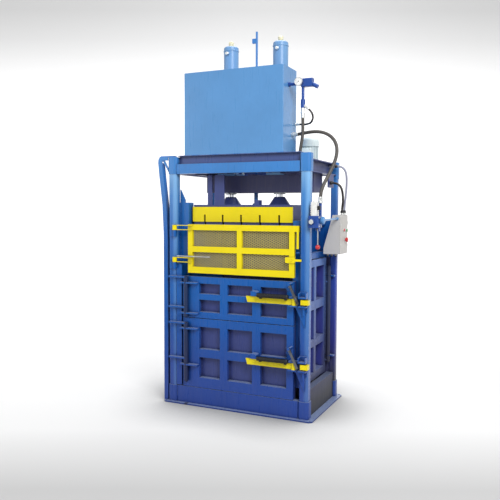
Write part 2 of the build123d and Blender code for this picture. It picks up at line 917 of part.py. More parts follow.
def make_gate_frame():
    y0 = gate_front
    y1 = gate_back
    half_rail = gate_rail / 2
    parts = [
        block(gate_left, gate_rail_end, y0, y1, gate_top - gate_rail, gate_top),
        block(gate_left, gate_right, y0, y1, gate_mid - half_rail, gate_mid + half_rail),
        block(gate_left, gate_right, y0, y1, gate_bottom, gate_bottom + gate_rail + 5),
    ]
    for x in (gate_left, gate_centre - gate_stile / 2, gate_right - gate_stile):
        parts.append(block(x, x + gate_stile, y0, y1, gate_bottom, gate_top))
    frame = join(parts)
    # Hanging flat at the end of the upper rail.
    frame = frame + block(
        gate_rail_end - gate_flat_width, gate_rail_end, y0, y0 + 8, gate_flat_bottom, gate_top - gate_rail + 1,
    )
    # Each hinge is a barrel on the pin, held by two straps.
    for z in gate_hinges:
        low = z - gate_barrel / 2
        high = z + gate_barrel / 2
        hinge = rod_z(gate_axis_x, gate_axis_y, low, high, gate_barrel_radius)
        for strap_low in (low, high - gate_strap):
            hinge = hinge + block(
                gate_axis_x, gate_left + gate_stile, gate_axis_y - 3, y0, strap_low, strap_low + gate_strap,
            )
        bore = rod_z(gate_axis_x, gate_axis_y, low - 1, high + 1, gate_pin_radius + running_gap)
        frame = frame + (hinge - bore)
    stud = rod_y(latch_x, latch_z, y0 - 18, y0, latch_stud_radius)
    head = rod_y(latch_x, latch_z, y0 - 18, y0 - 12.5, 10)
    return frame + stud + head


def make_gate_latch():
    y0 = gate_front
    plate = block(latch_x - 52, latch_x + 34, y0 - 12, y0 - 2, latch_z - 24, latch_z + 24)
    plate = chamfer(plate.edges().filter_by(Axis.Y), 6)
    nose = block(latch_x + 33, latch_x + 88, y0 - 12, y0 - 4, latch_z - 9, latch_z + 9)
    return plate + nose - rod_y(latch_x, latch_z, y0 - 13, y0 - 1, latch_stud_radius + running_gap)


def make_gate_mesh():
    # Diamond openings cut through one thin sheet, left of and right of the middle stile.
    y0 = gate_back - 2 * mesh_thickness
    sheets = []
    left_edge = gate_left + gate_stile
    right_edge = gate_right - gate_stile
    half = gate_stile / 2
    low = gate_bottom + gate_rail + 5
    high = gate_top - gate_rail
    split = gate_rail / 2
    for x0, x1 in ((left_edge, gate_centre - half), (gate_centre + half, right_edge)):
        for z0, z1 in ((low, gate_mid - split), (gate_mid + split, high)):
            sheet = block(x0, x1, y0, y0 + mesh_thickness, z0, z1)
            step_x = (x1 - x0 - mesh_strand) / mesh_columns
            step_z = (z1 - z0 - mesh_strand) / mesh_rows
            hx = step_x / 2 - mesh_strand / 3
            hz = step_z / 2 - mesh_strand / 3
            for i in range(mesh_columns):
                for j in range(mesh_rows):
                    cx = x0 + mesh_strand / 2 + step_x * (i + 0.5)
                    cz = z0 + mesh_strand / 2 + step_z * (j + 0.5)
                    sheet = sheet - plate_xz(
                        [(cx - hx, cz), (cx, cz - hz), (cx + hx, cz), (cx, cz + hz)],
                        y0 - 1, y0 + mesh_thickness + 1,
                    )
            sheets.append(sheet)
    return sheets


def make_gate_rod():
    z = gate_hinges[0] + 32
    y = gate_front - 16
    rod = rod_x(y, z, gate_axis_x + 25, gate_left + gate_rod_reach, 6)
    for x in (gate_left + 8, gate_left + 32):
        rod = rod + block(x, x + 6, y, gate_front, z - 5, z + 5)
    return rod


# Side door


def make_side_door():
    x0 = chamber_half
    x1 = chamber_half + wall_skin
    z0 = side_rails[0][0]
    z1 = side_rails[-1][1]
    parts = [block(x0, x1, side_door_front, side_door_rear, z0, z1)]
    for low, high in side_rails:
        parts.append(block(x1, side_door_face, side_door_front, side_door_rear, low, high))
    middle = (side_door_front + side_door_rear - side_stile) / 2
    for low in (side_door_front, middle, side_door_rear - side_stile):
        parts.append(block(x1, side_door_face, low, low + side_stile, z0, z1))
    door = join(parts)
    for tube in hinged_tube(side_door_axis_x, side_door_axis_y, side_tube_bottom, side_tube_top, side_plates):
        box = tube.bounding_box()
        web = block(
            side_door_face - 1, side_door_axis_x - 11,
            side_door_axis_y - hinge_web / 2, side_door_axis_y + hinge_web / 2,
            box.min.Z, box.max.Z,
        )
        door = door + tube + web
    for z in side_straps:
        door = door + block(
            side_door_face - 1, side_door_axis_x, side_door_axis_y - hinge_tube_radius,
            side_door_axis_y + 8, z, z + hinge_plate,
        )
    door = door - rod_z(side_door_axis_x, side_door_axis_y, z0 - 50, z1 + 50, hinge_bore)
    # Pull handle near the front edge.
    y = side_door_front + side_stile / 2
    x = side_door_face + side_handle_reach
    low, high = side_handle_span
    radius = side_handle_radius
    handle = rod_z(x, y, low, high, radius)
    for z in (low + radius, high - radius):
        handle = handle + rod_x(y, z, side_door_face, x, radius)
    return door + handle


# Press


def make_cylinder_barrels():
    barrels = []
    for x in (-cylinder_x, cylinder_x):
        barrel = rod_z(x, 0, barrel_bottom, barrel_top, barrel_radius)
        barrel = chamfer(barrel.edges().group_by(Axis.Z)[-1], 10)
        flange = block(
            x - flange_x / 2, x + flange_x / 2, -flange_y / 2, flange_y / 2,
            press_beam_top, press_beam_top + flange_thickness,
        )
        flange = chamfer(flange.edges().filter_by(Axis.Z), 15)
        port = rod_y(x, barrel_top - 70, -barrel_radius - 14, -barrel_radius + 4, 12)
        bore = rod_z(x, 0, barrel_bottom - 1, barrel_top - barrel_lid, barrel_radius - barrel_wall)
        barrels.append(barrel + flange + port - bore)
    return barrels


def make_cylinder_glands():
    glands = []
    for x in (-cylinder_x, cylinder_x):
        collar = rod_z(x, 0, gland_bottom, barrel_bottom, gland_radius)
        top = barrel_bottom + gland_sleeve
        sleeve = rod_z(x, 0, barrel_bottom, top, barrel_radius - barrel_wall - 0.05)
        glands.append(collar + sleeve - rod_z(x, 0, gland_bottom - 1, top + 1, rod_radius + running_gap))
    return glands


def make_piston_rods():
    rods = []
    for x in (-cylinder_x, cylinder_x):
        rod = rod_z(x, 0, platen_top + seat_height - seat_depth, piston_top, rod_radius)
        head_radius = barrel_radius - barrel_wall - running_gap
        rods.append(rod + rod_z(x, 0, piston_top - piston_length, piston_top, head_radius))
    return rods


def make_cylinder_plugs():
    plugs = []
    for x in (-cylinder_x, cylinder_x):
        plug = rod_z(x, 0, barrel_top, barrel_top + plug_height, plug_radius)
        plug = chamfer(plug.edges().group_by(Axis.Z)[-1], 8)
        plugs.append(plug - Pos(x, 0, barrel_top + plug_height * 0.3) * Torus(plug_radius + 2, 6))
    return plugs


def make_platen():
    body = block(-platen_half, platen_half, platen_front, platen_rear, platen_bottom, platen_top)
    # Open pockets from above between the webs, and strap slots from below.
    edges = [-platen_half] + slot_places() + [platen_half]
    pockets = ((platen_front + platen_web, -pocket_half), (pocket_half, platen_rear - platen_web))
    for left, right in zip(edges, edges[1:]):
        x0 = left + (platen_web if left == -platen_half else slot_width / 2 + platen_web)
        x1 = right - (platen_web if right == platen_half else slot_width / 2 + platen_web)
        for y0, y1 in pockets:
            body = body - block(x0, x1, y0, y1, platen_bottom + platen_skin, platen_top + 1)
    for x in slot_places():
        body = body - block(
            x - slot_width / 2, x + slot_width / 2, platen_front - 1, platen_rear + 1,
            platen_bottom - 1, slot_top,
        )
    seat_top = platen_top + seat_height
    for x in (-cylinder_x, cylinder_x):
        seat = cone_z(x, 0, platen_top, seat_top, seat_foot_radius, seat_top_radius)
        body = body + (seat - rod_z(x, 0, seat_top - seat_depth, seat_top + 1, rod_radius + 0.05))
    # Guide plates that reach up into the head, and a shoe, on the front edge.
    for x0, x1 in guide_plates:
        body = body + block(
            x0, x1, platen_front, platen_front + guide_plate_thickness, platen_top - 1, guide_plate_top,
        )
    x0, x1 = shoe_span
    return body + block(
        x0, x1, platen_front, platen_front + shoe_depth, platen_top - 1, platen_top + shoe_height,
    )


def make_face_plate():
    y1 = platen_front
    y0 = y1 - face_plate_thickness
    plate = block(-face_plate_half, face_plate_half, y0, y1, face_plate_bottom, face_plate_top)
    plate = fillet(plate.edges().filter_by(Axis.Y), 4)
    for x in slot_places():
        plate = plate - block(
            x - slot_width / 2, x + slot_width / 2, y0 - 1, y1 + 1, face_plate_bottom - 1, slot_top,
        )
    return plate


def make_indicator_rod():
    rod = rod_z(indicator_x, 0, platen_top, indicator_top, indicator_radius)
    tube = rod_z(indicator_x, 0, platen_top, indicator_tube_top, indicator_tube_radius)
    foot = rod_z(indicator_x, 0, platen_top, platen_top + 15, 30)
    # Clamp near the top.
    clamp_z = indicator_top - 2.5 * indicator_clamp
    clamp = block(
        indicator_x - indicator_clamp, indicator_x, -12, 12, clamp_z, clamp_z + indicator_clamp,
    )
    return rod + tube + foot + clamp


# Hydraulics


def make_oil_tank():
    y0 = front + tank_front
    z0 = beam_top
    z1 = beam_top + tank_height
    shell = block(tank_left, tank_right, y0, tank_rear, z0, z1)
    shell = fillet(shell.edges().filter_by(Axis.Z), 6)
    shell = shell - block(
        tank_left + tank_wall, tank_right - tank_wall, y0 + tank_wall, tank_rear - tank_wall,
        z0 + tank_wall, z1 - tank_wall,
    )
    # Clean-out cover on the back and filler cap on the top.
    cover_x = (tank_left + tank_right) / 2 - tank_cover_offset
    cover_z = z0 + tank_cover_rise
    cover = rod_y(cover_x, cover_z, tank_rear, tank_rear + tank_cover_thickness, tank_cover_radius)
    filler_x = tank_left + 150
    filler_y = tank_rear - 55
    filler = rod_z(filler_x, filler_y, z1, z1 + 18, filler_radius)
    filler = filler + rod_z(filler_x, filler_y, z1 + 18, z1 + 42, filler_radius + 8)
    return shell + cover + filler


def make_motor():
    shelf_left = rail_centre - rail_width / 2 + 2
    shelf = block(shelf_left, side_beam_inner, -motor_shelf_half, motor_shelf_half, beam_step, motor_foot)
    flange = rod_z(motor_x, 0, motor_foot, motor_foot + 14, motor_flange_radius)
    cowl_z = motor_top - motor_cowl_height
    body = rod_z(motor_x, 0, motor_foot + 14, cowl_z + 8, motor_radius - 12)
    cowl = rod_z(motor_x, 0, cowl_z, motor_top, motor_radius)
    cowl = fillet(cowl.edges().group_by(Axis.Z)[-1], 34)
    motor = flange + body + cowl
    for i in range(motor_fins):
        fin = block(motor_radius - 16, motor_radius - 3, -2, 2, motor_foot + 25, cowl_z + 1)
        motor = motor + Pos(motor_x, 0, 0) * Rot(0, 0, 360.0 / motor_fins * i) * fin
    terminal = block(
        motor_x - terminal_half, motor_x + terminal_half, -motor_radius - 28, -motor_radius + 26,
        motor_foot + 40, motor_foot + 115,
    )
    return shelf + motor + terminal


def make_pump():
    low = beam_step - pump_length
    body = rod_z(motor_x, 0, low, beam_step, pump_radius)
    nose = rod_z(motor_x, 0, low - 12, low, pump_radius - 14)
    port = rod_y(motor_x, beam_step - pump_port_drop, -pump_radius - pump_port_reach, -pump_radius + 8, 15)
    return body + nose + port


def make_relief_block():
    y = gauge_y
    z = gauge_z
    x0 = tank_right + relief_body_left
    x1 = tank_right + relief_body_right
    pipe_x = tank_right + relief_pipe
    nipple = rod_x(y, z, tank_right, x0 + 1, 13)
    collar = rod_x(y, z, tank_right, tank_right + 14, 20)
    body = block(x0, x1, y - 28, y + 28, z - 32, z + 36)
    body = fillet(body.edges().filter_by(Axis.X), 8)
    nozzle = Pos(x1, y, z - 14) * Rot(0, 118, 0) * Pos(0, 0, 14) * Cylinder(17, 70)
    pipe = rod_z(pipe_x, y, z - 140, z - 30, 12)
    socket = rod_z(pipe_x, y, gauge_port[2] - 8, z - 132, 19)
    side_port = Pos(*gauge_port) * Rot(0, gauge_port_turn, 0) * Pos(0, 0, -17.5) * Cylinder(10, 35)
    return nipple + collar + body + nozzle + pipe + socket + side_port


def make_gauge():
    y1 = gauge_y - 28
    case = rod_y(tank_right + gauge_centre, gauge_z + 8, y1 - 26, y1, gauge_radius)
    return fillet(case.edges().group_by(Axis.Y)[0], 4)


def make_control_valve():
    x0 = half_width + 2
    x1 = manifold_x + manifold_half
    body = block(x0, x1, manifold_front, manifold_rear, manifold_bottom, manifold_top)
    body = chamfer(body.edges().filter_by(Axis.Z), 5)
    foot = block(half_width, x0 + 1, front + 5, manifold_rear - 5, manifold_bottom + 5, manifold_top + 60)
    spool = rod_y(manifold_x - 10, manifold_bottom + 48, manifold_front - 22, manifold_front + 1, 20)
    port = rod_x(manifold_rear - 30, manifold_bottom + 60, x1, x1 + 26, 14)
    neck = rod_z(
        manifold_x + neck_offset, manifold_front + neck_inset, manifold_top, solenoid_top + neck_rise, neck_radius,
    )
    # Ears that hold the pivot of the hand lever.
    ears = block(
        valve_lever_x - 16, valve_lever_x + 16, valve_lever_y - 14, valve_lever_y + 14,
        manifold_bottom - 26, manifold_bottom + 1,
    )
    ears = ears - block(
        valve_lever_x - valve_lever_half - 0.3, valve_lever_x + valve_lever_half + 0.3,
        valve_lever_y - 15, valve_lever_y + 15, manifold_bottom - 27, manifold_bottom - 2,
    )
    pivot = rod_x(valve_lever_y, valve_pivot_z, valve_lever_x - 16, valve_lever_x + 16, valve_pivot_radius)
    return body + foot + spool + port + neck + ears + pivot


def make_solenoid():
    case = block(
        manifold_x - 24, manifold_x + 24, manifold_front + 6, manifold_front + 62, manifold_top, solenoid_top,
    )
    return fillet(case.edges().filter_by(Axis.Z), 8)


def make_valve_lever():
    x0 = valve_lever_x - valve_lever_half
    x1 = valve_lever_x + valve_lever_half
    boss = rod_x(valve_lever_y, valve_pivot_z, x0, x1, 10)
    low = valve_pivot_z - valve_lever_drop + valve_ball_radius - 1
    rod = rod_z(valve_lever_x, valve_lever_y, low, valve_pivot_z - 5, 5)
    return boss + rod - rod_x(valve_lever_y, valve_pivot_z, x0 - 1, x1 + 1, valve_pivot_radius + running_gap)


def make_lever_ball():
    z = valve_pivot_z - valve_lever_drop
    reach = valve_ball_radius + 1
    ball = Pos(valve_lever_x, valve_lever_y, z) * Sphere(valve_ball_radius)
    return ball & block(
        valve_lever_x - reach, valve_lever_x + reach, valve_lever_y - reach, valve_lever_y + reach,
        z - reach, z + valve_ball_radius - 1,
    )


# Control box


def box_outline(inset):
    # The side against the machine slopes inwards to the bottom, where the glands are.
    left = half_width - box_foot_reach
    return [
        (left + inset, box_bottom + inset),
        (box_face - inset, box_bottom + inset),
        (box_face - inset, box_top - inset),
        (half_width + box_slope_reach + inset, box_top - inset),
        (left + inset, box_bottom + box_slope_start),
    ]


def make_control_box():
    shell = plate_xz(box_outline(0), box_front, box_rear)
    hollow = plate_xz(box_outline(box_wall), box_front + box_wall, box_rear - box_wall)
    opening = block(
        box_face - box_wall - 1, box_face + 1, box_front + 12, box_rear - 12, box_bottom + 12, box_top - 12,
    )
    left = half_width - box_foot_reach + 2
    lug = block(left, half_width - 4, box_rear - 1, rear_face, box_bottom + 5, box_bottom + 45)
    shell = shell - hollow - opening + lug
    for i in range(3):
        x = left + 24 + gland_pitch * i
        shell = shell + rod_z(x, box_front + 45, box_bottom - 16, box_bottom, gland_size)
    return shell


def button_places():
    return {
        name: (box_front + inset, box_bottom + rise) for name, (inset, rise) in button_insets.items()
    }


def make_box_cover():
    x0 = box_face
    x1 = box_face + box_cover_thickness
    cover = block(x0, x1, box_front + 2, box_rear - 2, box_bottom + 2, box_top - 2)
    cover = fillet(cover.edges().filter_by(Axis.X), 5)
    for y, z in button_places().values():
        cover = cover + (rod_x(y, z, x1, x1 + 4, 19))
        cover = cover - rod_x(y, z, x0 - 1, x1 + 5, button_radius + 0.3)
    return cover


def make_button(name):
    y, z = button_places()[name]
    x1 = box_face + box_cover_thickness + 4
    stem = rod_x(y, z, box_face - 22, x1 + 8, button_radius)
    if name == "emergency_stop":
        head = rod_x(y, z, x1 + 8, x1 + 24, estop_radius)
        return stem + fillet(head.edges().group_by(Axis.X)[-1], 7)
    return fillet(stem.edges().group_by(Axis.X)[-1], 3)


# Hoses and cables


hose_routes = {
    "pressure_hose": (26.0, [
        (546.0, -262.0, 2515.0), (546.0, -262.0, 2462.0), (547.0, -261.0, 2400.0), (545.0, -261.0, 2340.0),
        (537.0, -262.0, 2285.0), (528.0, -262.0, 2232.0), (520.0, -262.0, 2180.0), (517.0, -239.0, 2126.0),
        (517.0, -197.0, 2083.0), (517.0, -142.0, 2060.0), (517.0, -90.0, 2060.0),
    ]),
    "gauge_hose": (16.0, [
        (573.0, -262.0, 2571.0), (600.0, -262.0, 2548.3), (624.0, -257.0, 2519.0), (630.0, -246.0, 2486.0),
        (615.0, -230.0, 2456.0), (590.0, -203.0, 2444.0), (552.0, -174.0, 2442.0), (520.0, -146.0, 2444.0),
        (490.0, -122.0, 2449.0), (462.0, -110.0, 2453.0), (436.0, -110.0, 2453.0),
    ]),
    "return_hose": (28.0, [
        (447.0, -190.0, 2360.0), (485.0, -190.0, 2360.0), (530.0, -190.0, 2367.0), (582.0, -193.0, 2373.0),
        (638.0, -196.0, 2375.0), (694.0, -200.0, 2367.0), (746.0, -205.0, 2346.0), (788.0, -210.0, 2313.0),
        (817.0, -217.0, 2268.0), (830.0, -226.0, 2216.0), (827.0, -236.0, 2160.0), (814.0, -250.0, 2107.0),
        (797.0, -269.0, 2056.0), (779.0, -293.0, 2005.0), (761.0, -318.0, 1956.0), (745.0, -339.0, 1906.0),
        (735.0, -352.0, 1854.0), (735.0, -352.0, 1800.0),
    ]),
    "motor_cable": (18.0, [
        (664.0, 280.0, 2118.0), (702.0, 280.0, 2118.0), (736.0, 280.0, 2103.0), (758.0, 280.0, 2070.0),
        (766.0, 280.0, 2028.0), (768.0, 280.0, 1976.0), (766.0, 280.0, 1922.0), (762.0, 280.0, 1868.0),
        (757.0, 280.0, 1814.0), (750.0, 280.0, 1762.0), (750.0, 280.0, 1708.0),
    ]),
    "valve_cable": (20.0, [
        (660.0, 150.0, 1966.0), (694.0, 150.0, 1966.0), (728.0, 152.0, 1955.0), (753.0, 157.0, 1929.0),
        (764.0, 163.0, 1888.0), (768.0, 170.0, 1840.0), (766.0, 178.0, 1793.0), (756.0, 188.0, 1750.0),
        (756.0, 188.0, 1708.0),
    ]),
}


def hose_path(points):
    vectors = [Vector(*p) for p in points]
    radii = []
    for before, here, after in zip(vectors, vectors[1:], vectors[2:]):
        run_in = here - before
        run_out = after - here
        turn = radians(run_in.get_angle(run_out))
        radii.append(0.45 * min(run_in.length, run_out.length) / tan(turn / 2))
    path = FilletPolyline(*vectors, radius=radii)
    return path, radii


def make_hose(name):
    diameter, points = hose_routes[name]
    path, radii = hose_path(points)
    start = Plane(origin=path @ 0, z_dir=path % 0)
    tube = sweep(start * Circle(diameter / 2), path)
    expected = pi * diameter * diameter / 4 * path.length
    print(name, "length", round(path.length), "radii", [round(r) for r in radii],
          "volume ratio", round(tube.volume / expected, 4))
    return tube


def make_hose_fittings():
    # Each hose ends flat on the face of its fitting.
    fittings = []
    x, y, z = hose_routes["pressure_hose"][1][0]
    fittings.append(rod_z(x, y, z, gauge_port[2] - 8, 16))
    x, y, z = hose_routes["gauge_hose"][1][-1]
    fittings.append(rod_x(y, z, tank_right, x, 11))
    x, y, z = hose_routes["return_hose"][1][0]
    fittings.append(rod_x(y, z, tank_right, x, 17))
    for name, foot in (
        ("motor_cable", side_beam_inner + side_beam_wall),
        ("valve_cable", half_width - side_beam_setback),
    ):
        x, y, z = hose_routes[name][1][0]
        fittings.append(rod_x(y, z, foot, x, 13))
        x, y, z = hose_routes[name][1][-1]
        fittings.append(rod_z(x, y, box_top, z, 12))
    return fittings


# Fasteners


def make_pins_and_bolts():
    items = []
    for low, high in ((lower_tube_bottom, lower_plates[-1]), (upper_tube_bottom, upper_plates[-1])):
        items.append(rod_z(door_axis_x, door_axis_y, low - 6, high + hinge_plate + 6, hinge_pin_radius))
    items.append(rod_z(
        side_door_axis_x, side_door_axis_y, side_tube_bottom - 6, side_tube_top + 6, hinge_pin_radius,
    ))
    for z in gate_hinges:
        low = z - gate_barrel / 2 - hinge_side_gap - gate_post + 10
        items.append(rod_z(gate_axis_x, gate_axis_y, low, z + gate_barrel / 2 + 4, gate_pin_radius))
    for lock_z in (lock_height, lock_height - lock_drop):
        top = lock_z - keeper_height / 2 - 0.3
        bolt = rod_z(keeper_bolt_x, keeper_bolt_y, top - 85, top, keeper_bolt_radius - 0.1)
        head_top = lock_z - 31 - bracket_plate - 0.3
        items.append(bolt + rod_z(keeper_bolt_x, keeper_bolt_y, head_top - 10, head_top, 14))
    for sx in (-1, 1):
        for dx in (-1, 1):
            for dy in (-1, 1):
                x = sx * cylinder_x + dx * (flange_x / 2 - 16)
                y = dy * (flange_y / 2 - 18)
                z = press_beam_top + flange_thickness
                items.append(rod_z(x, y, z, z + 12, 11))
    return items


def write(name, shape):
    pieces = shape if isinstance(shape, (list, tuple)) else [shape]
    solids = [solid for piece in pieces for solid in piece.solids()]
    export_step(solids[0] if len(solids) == 1 else Compound(children=solids), "parts/" + name + ".step")


def build_parts():
    parts = {"base_plate": make_base_plate()}
    parts.update(make_columns())
    parts["column_caps"] = make_column_caps()
    parts["head_cross_beams"] = [make_front_beam(), make_rear_beam()]
    parts["head_side_beams"] = [make_side_beam(-1), make_side_beam(1)]
    parts["press_beams"] = make_press_beams()
    parts["front_sill"] = make_front_sill()
    parts["floor_frame"] = make_floor_frame()
    parts["left_wall"] = make_left_wall()
    parts["rear_wall"] = make_rear_wall()
    parts["right_wall"] = make_right_wall()
    parts["left_stay"] = make_left_stay()
    split = door_split_gap / 2
    lower_lock = lock_height - lock_drop
    parts["upper_door"] = make_door(
        door_split + split, door_top, upper_rails, upper_tube_bottom, upper_plates, upper_straps, lock_height,
    )
    parts["lower_door"] = make_door(
        door_bottom, door_split - split, lower_rails, lower_tube_bottom, lower_plates, lower_straps, lower_lock,
    )
    for prefix, z in (("upper", lock_height), ("lower", lower_lock)):
        parts[prefix + "_lock_lever"] = make_lock_lever(z)
        parts[prefix + "_lock_grip"] = make_lock_grip(z)
        parts[prefix + "_catch"] = make_catch(z)
    parts["lock_brackets"] = [make_lock_bracket(lock_height), make_lock_bracket(lower_lock)]
    parts["lock_keepers"] = [make_lock_keeper(lock_height), make_lock_keeper(lower_lock)]
    parts["hinge_brackets"] = make_hinge_brackets()
    parts["gate_frame"] = make_gate_frame()
    parts["gate_mesh"] = make_gate_mesh()
    parts["gate_latch"] = make_gate_latch()
    parts["gate_rod"] = make_gate_rod()
    parts["side_door"] = make_side_door()
    parts["cylinder_barrels"] = make_cylinder_barrels()
    parts["cylinder_glands"] = make_cylinder_glands()
    parts["piston_rods"] = make_piston_rods()
    parts["cylinder_plugs"] = make_cylinder_plugs()
    parts["platen"] = make_platen()
    parts["platen_face_plate"] = make_face_plate()
    parts["indicator_rod"] = make_indicator_rod()
    parts["oil_tank"] = make_oil_tank()
    parts["motor"] = make_motor()
    parts["pump"] = make_pump()
    parts["relief_block"] = make_relief_block()
    parts["gauge"] = make_gauge()
    parts["control_valve"] = make_control_valve()
    parts["solenoid"] = make_solenoid()
    parts["valve_lever"] = make_valve_lever()
    parts["lever_ball"] = make_lever_ball()
    parts["control_box"] = make_control_box()
    parts["box_cover"] = make_box_cover()
    for name in button_places():
        parts[name] = make_button(name)
    for name in hose_routes:
        parts[name] = make_hose(name)
    parts["hose_fittings"] = make_hose_fittings()
    parts["pins_and_bolts"] = make_pins_and_bolts()
    return parts


def main():
    os.makedirs("parts", exist_ok=True)
    parts = build_parts()
    print(len(parts), "nodes")
    for name, solids in parts.items():
        write(name, solids)


main()
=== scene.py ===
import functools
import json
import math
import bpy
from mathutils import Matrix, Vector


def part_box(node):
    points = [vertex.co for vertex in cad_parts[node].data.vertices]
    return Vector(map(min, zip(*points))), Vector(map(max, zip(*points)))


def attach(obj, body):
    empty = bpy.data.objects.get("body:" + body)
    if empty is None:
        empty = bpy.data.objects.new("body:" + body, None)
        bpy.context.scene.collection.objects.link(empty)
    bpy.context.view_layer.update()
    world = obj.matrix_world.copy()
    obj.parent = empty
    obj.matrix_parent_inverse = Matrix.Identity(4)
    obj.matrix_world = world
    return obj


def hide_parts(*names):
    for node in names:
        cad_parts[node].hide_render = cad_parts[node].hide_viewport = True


bl_info = {
    "name": "Vertical Baler",
    "version": (1, 0, 0),
    "blender": (4, 5, 0),
    "location": "View3D > Sidebar > Baler",
    "description": "Finishes the packed vertical baler: paint, mesh, hoses, fittings and studio",
    "category": "Object",
}

import bmesh
import bpy
from bpy.props import FloatProperty, FloatVectorProperty, IntProperty, PointerProperty
from mathutils import Matrix, Vector

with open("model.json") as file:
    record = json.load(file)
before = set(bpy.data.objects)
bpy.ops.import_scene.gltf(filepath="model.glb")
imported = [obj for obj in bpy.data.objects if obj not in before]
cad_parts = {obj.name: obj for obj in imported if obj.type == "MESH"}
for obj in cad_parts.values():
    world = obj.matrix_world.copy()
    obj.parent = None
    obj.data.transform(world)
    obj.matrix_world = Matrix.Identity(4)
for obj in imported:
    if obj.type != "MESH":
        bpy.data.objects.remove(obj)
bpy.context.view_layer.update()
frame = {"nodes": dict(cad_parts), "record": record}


# Settings


def linear(hex_colour):
    channels = [int(hex_colour[i:i + 2], 16) / 255 for i in (1, 3, 5)]
    return [c / 12.92 if c <= 0.04045 else ((c + 0.055) / 1.055) ** 2.4 for c in channels] + [1.0]


def colour(label, text, hex_colour):
    return FloatVectorProperty(
        name=label, description=text, subtype="COLOR", size=4, min=0, max=1, default=linear(hex_colour))


def length(label, text, metres):
    return FloatProperty(name=label, description=text, default=metres, min=0.0001, unit="LENGTH")


class BalerColours(bpy.types.PropertyGroup):
    """Paint and plastic colours of the baler"""
    frame_blue: colour("Frame blue", "Enamel of the frame and the doors", "#0c5fb3")
    foot_blue: colour("Lower blue", "The same enamel low on the machine", "#1a489f")
    base_blue: colour("Base blue", "The same enamel on the base plate, under a film of dust", "#27479a")
    column_blue: colour("Column top blue", "The same enamel high on the front columns, faded", "#84b7e6")
    head_blue: colour("Upper blue", "The same enamel on the head, cleaner and newer", "#4085cc")
    recess_blue: colour("Recess blue", "The same enamel between the ribs of the doors, under dirt", "#3a4683")
    head_grime: colour("Head grime", "Oily dust on the beams that carry the cylinders", "#484a70")
    side_blue: colour("Side blue", "The same enamel on the right side, dulled by dirt", "#5f86cc")
    side_dirt: colour("Side dirt", "Brown-grey dirt low on the right side", "#3d3e45")
    ledge_dust: colour("Ledge dust", "Pale dust on every edge and ledge that faces up", "#98a8c8")
    corner_fade: colour("Faded corner", "The front columns' right corners, rubbed and faded", "#8cc2f2")
    edge_wear: colour("Worn blue", "Rubbed edges and chips of the enamel", "#8f9fc0")
    grease: colour("Grease", "Old grease on the hinge tubes and dirt in corners", "#1d1a20")
    tank_blue: colour("Tank blue", "Enamel of the oil tank", "#5a95ce")
    cylinder_blue: colour("Cylinder blue", "Enamel of the two cylinders", "#78a5d3")
    gate_yellow: colour("Safety yellow", "Enamel of the gate, keepers and platen front", "#fae502")
    bar_yellow: colour("Lock bar yellow", "Enamel of the lock bars, dulled by hands", "#f2df14")
    mesh_drab: colour("Mesh drab", "Dipped enamel of the expanded mesh", "#cdbf7e")
    motor_cyan: colour("Motor grey-green", "Enamel of the motor", "#e6f3f5")
    box_grey: colour("Box grey", "Powder coat of the control box", "#d6d3cf")
    hose_grey: colour("Hose rubber", "Cover of the pressure and return hoses", "#4a4642")
    cable_grey: colour("Cable sleeve", "Woven sleeve of the motor cable", "#9a9cae")


class BalerSizes(bpy.types.PropertyGroup):
    """Sizes of the pieces that are added to the solids"""
    mesh_long_way: length("Mesh long way", "Width of one diamond of the expanded mesh", 0.036)
    mesh_short_way: length("Mesh short way", "Height of one diamond of the expanded mesh", 0.0145)
    mesh_strand: length("Mesh strand", "Width of one strand of the mesh", 0.0036)
    mesh_sheet: length("Mesh sheet", "Thickness of the mesh sheet", 0.0024)
    bolt_radius: length("Bolt head", "Radius over the corners of the flange bolts' heads", 0.0132)
    screw_radius: length("Cover screw", "Radius of the small cover screws", 0.0045)
    weld_radius: length("Weld bead", "Radius of a fillet weld", 0.0036)
    weld_pitch: length("Weld ripple", "Distance between two ripples of a weld", 0.007)
    grip_pitch: length("Grip rib", "Distance between two ribs of the hand grips", 0.0085)
    grip_groove: length("Grip groove", "Depth of the grooves between the ribs", 0.0022)
    ferrule_length: length("Hose ferrule", "Length of the crimped sleeve on a hose end", 0.034)
    cowl_slots: IntProperty(
        name="Cowl slots", description="Air slots round the motor's fan cowl", default=18, min=4)


def tint(value):
    """A colour of the settings by its name, or a hex value, ready for a shader."""
    if value.startswith("#"):
        return linear(value)
    return tuple(getattr(bpy.context.scene.baler_colours, value))


def sizes():
    return bpy.context.scene.baler_sizes


# Finishes


def add_node(owner, kind, links=None, stops=(), **settings):
    """One shader node with its settings, its stops if it is a ramp, its socket values and its incoming
    links. A link comes from an output, or from the first output in use of a node."""
    node = owner.node_tree.nodes.new("ShaderNode" + kind)
    for key, value in settings.items():
        setattr(node, key, value)
    if stops:
        elements = node.color_ramp.elements
        while len(elements) < len(stops):
            elements.new(0.5)
        for element, (position, shade) in zip(elements, stops):
            element.position = position
            element.color = shade if hasattr(shade, "__len__") else (shade, shade, shade, 1)
    for socket, source in (links or {}).items():
        if hasattr(source, "outputs"):
            source = next(output for output in source.outputs if output.enabled)
        if hasattr(source, "is_output"):
            owner.node_tree.links.new(source, node.inputs[socket])
        else:
            node.inputs[socket].default_value = source
    return node


def new_material(name):
    """An empty material, what adds its nodes, and the place in metres that its patterns follow."""
    material = bpy.data.materials.new(name)
    material.use_nodes = True
    material.node_tree.nodes.clear()
    add = functools.partial(add_node, material)
    return material, add, add("TexCoord").outputs["Object"]


def layered(add, tone, layers):
    """The tone under layers of colour, each with its mask and the way that it blends."""
    for mask, shade, blend in layers:
        tone = add("Mix", {0: mask, 6: tone, 7: shade}, data_type="RGBA", blend_type=blend)
    return tone


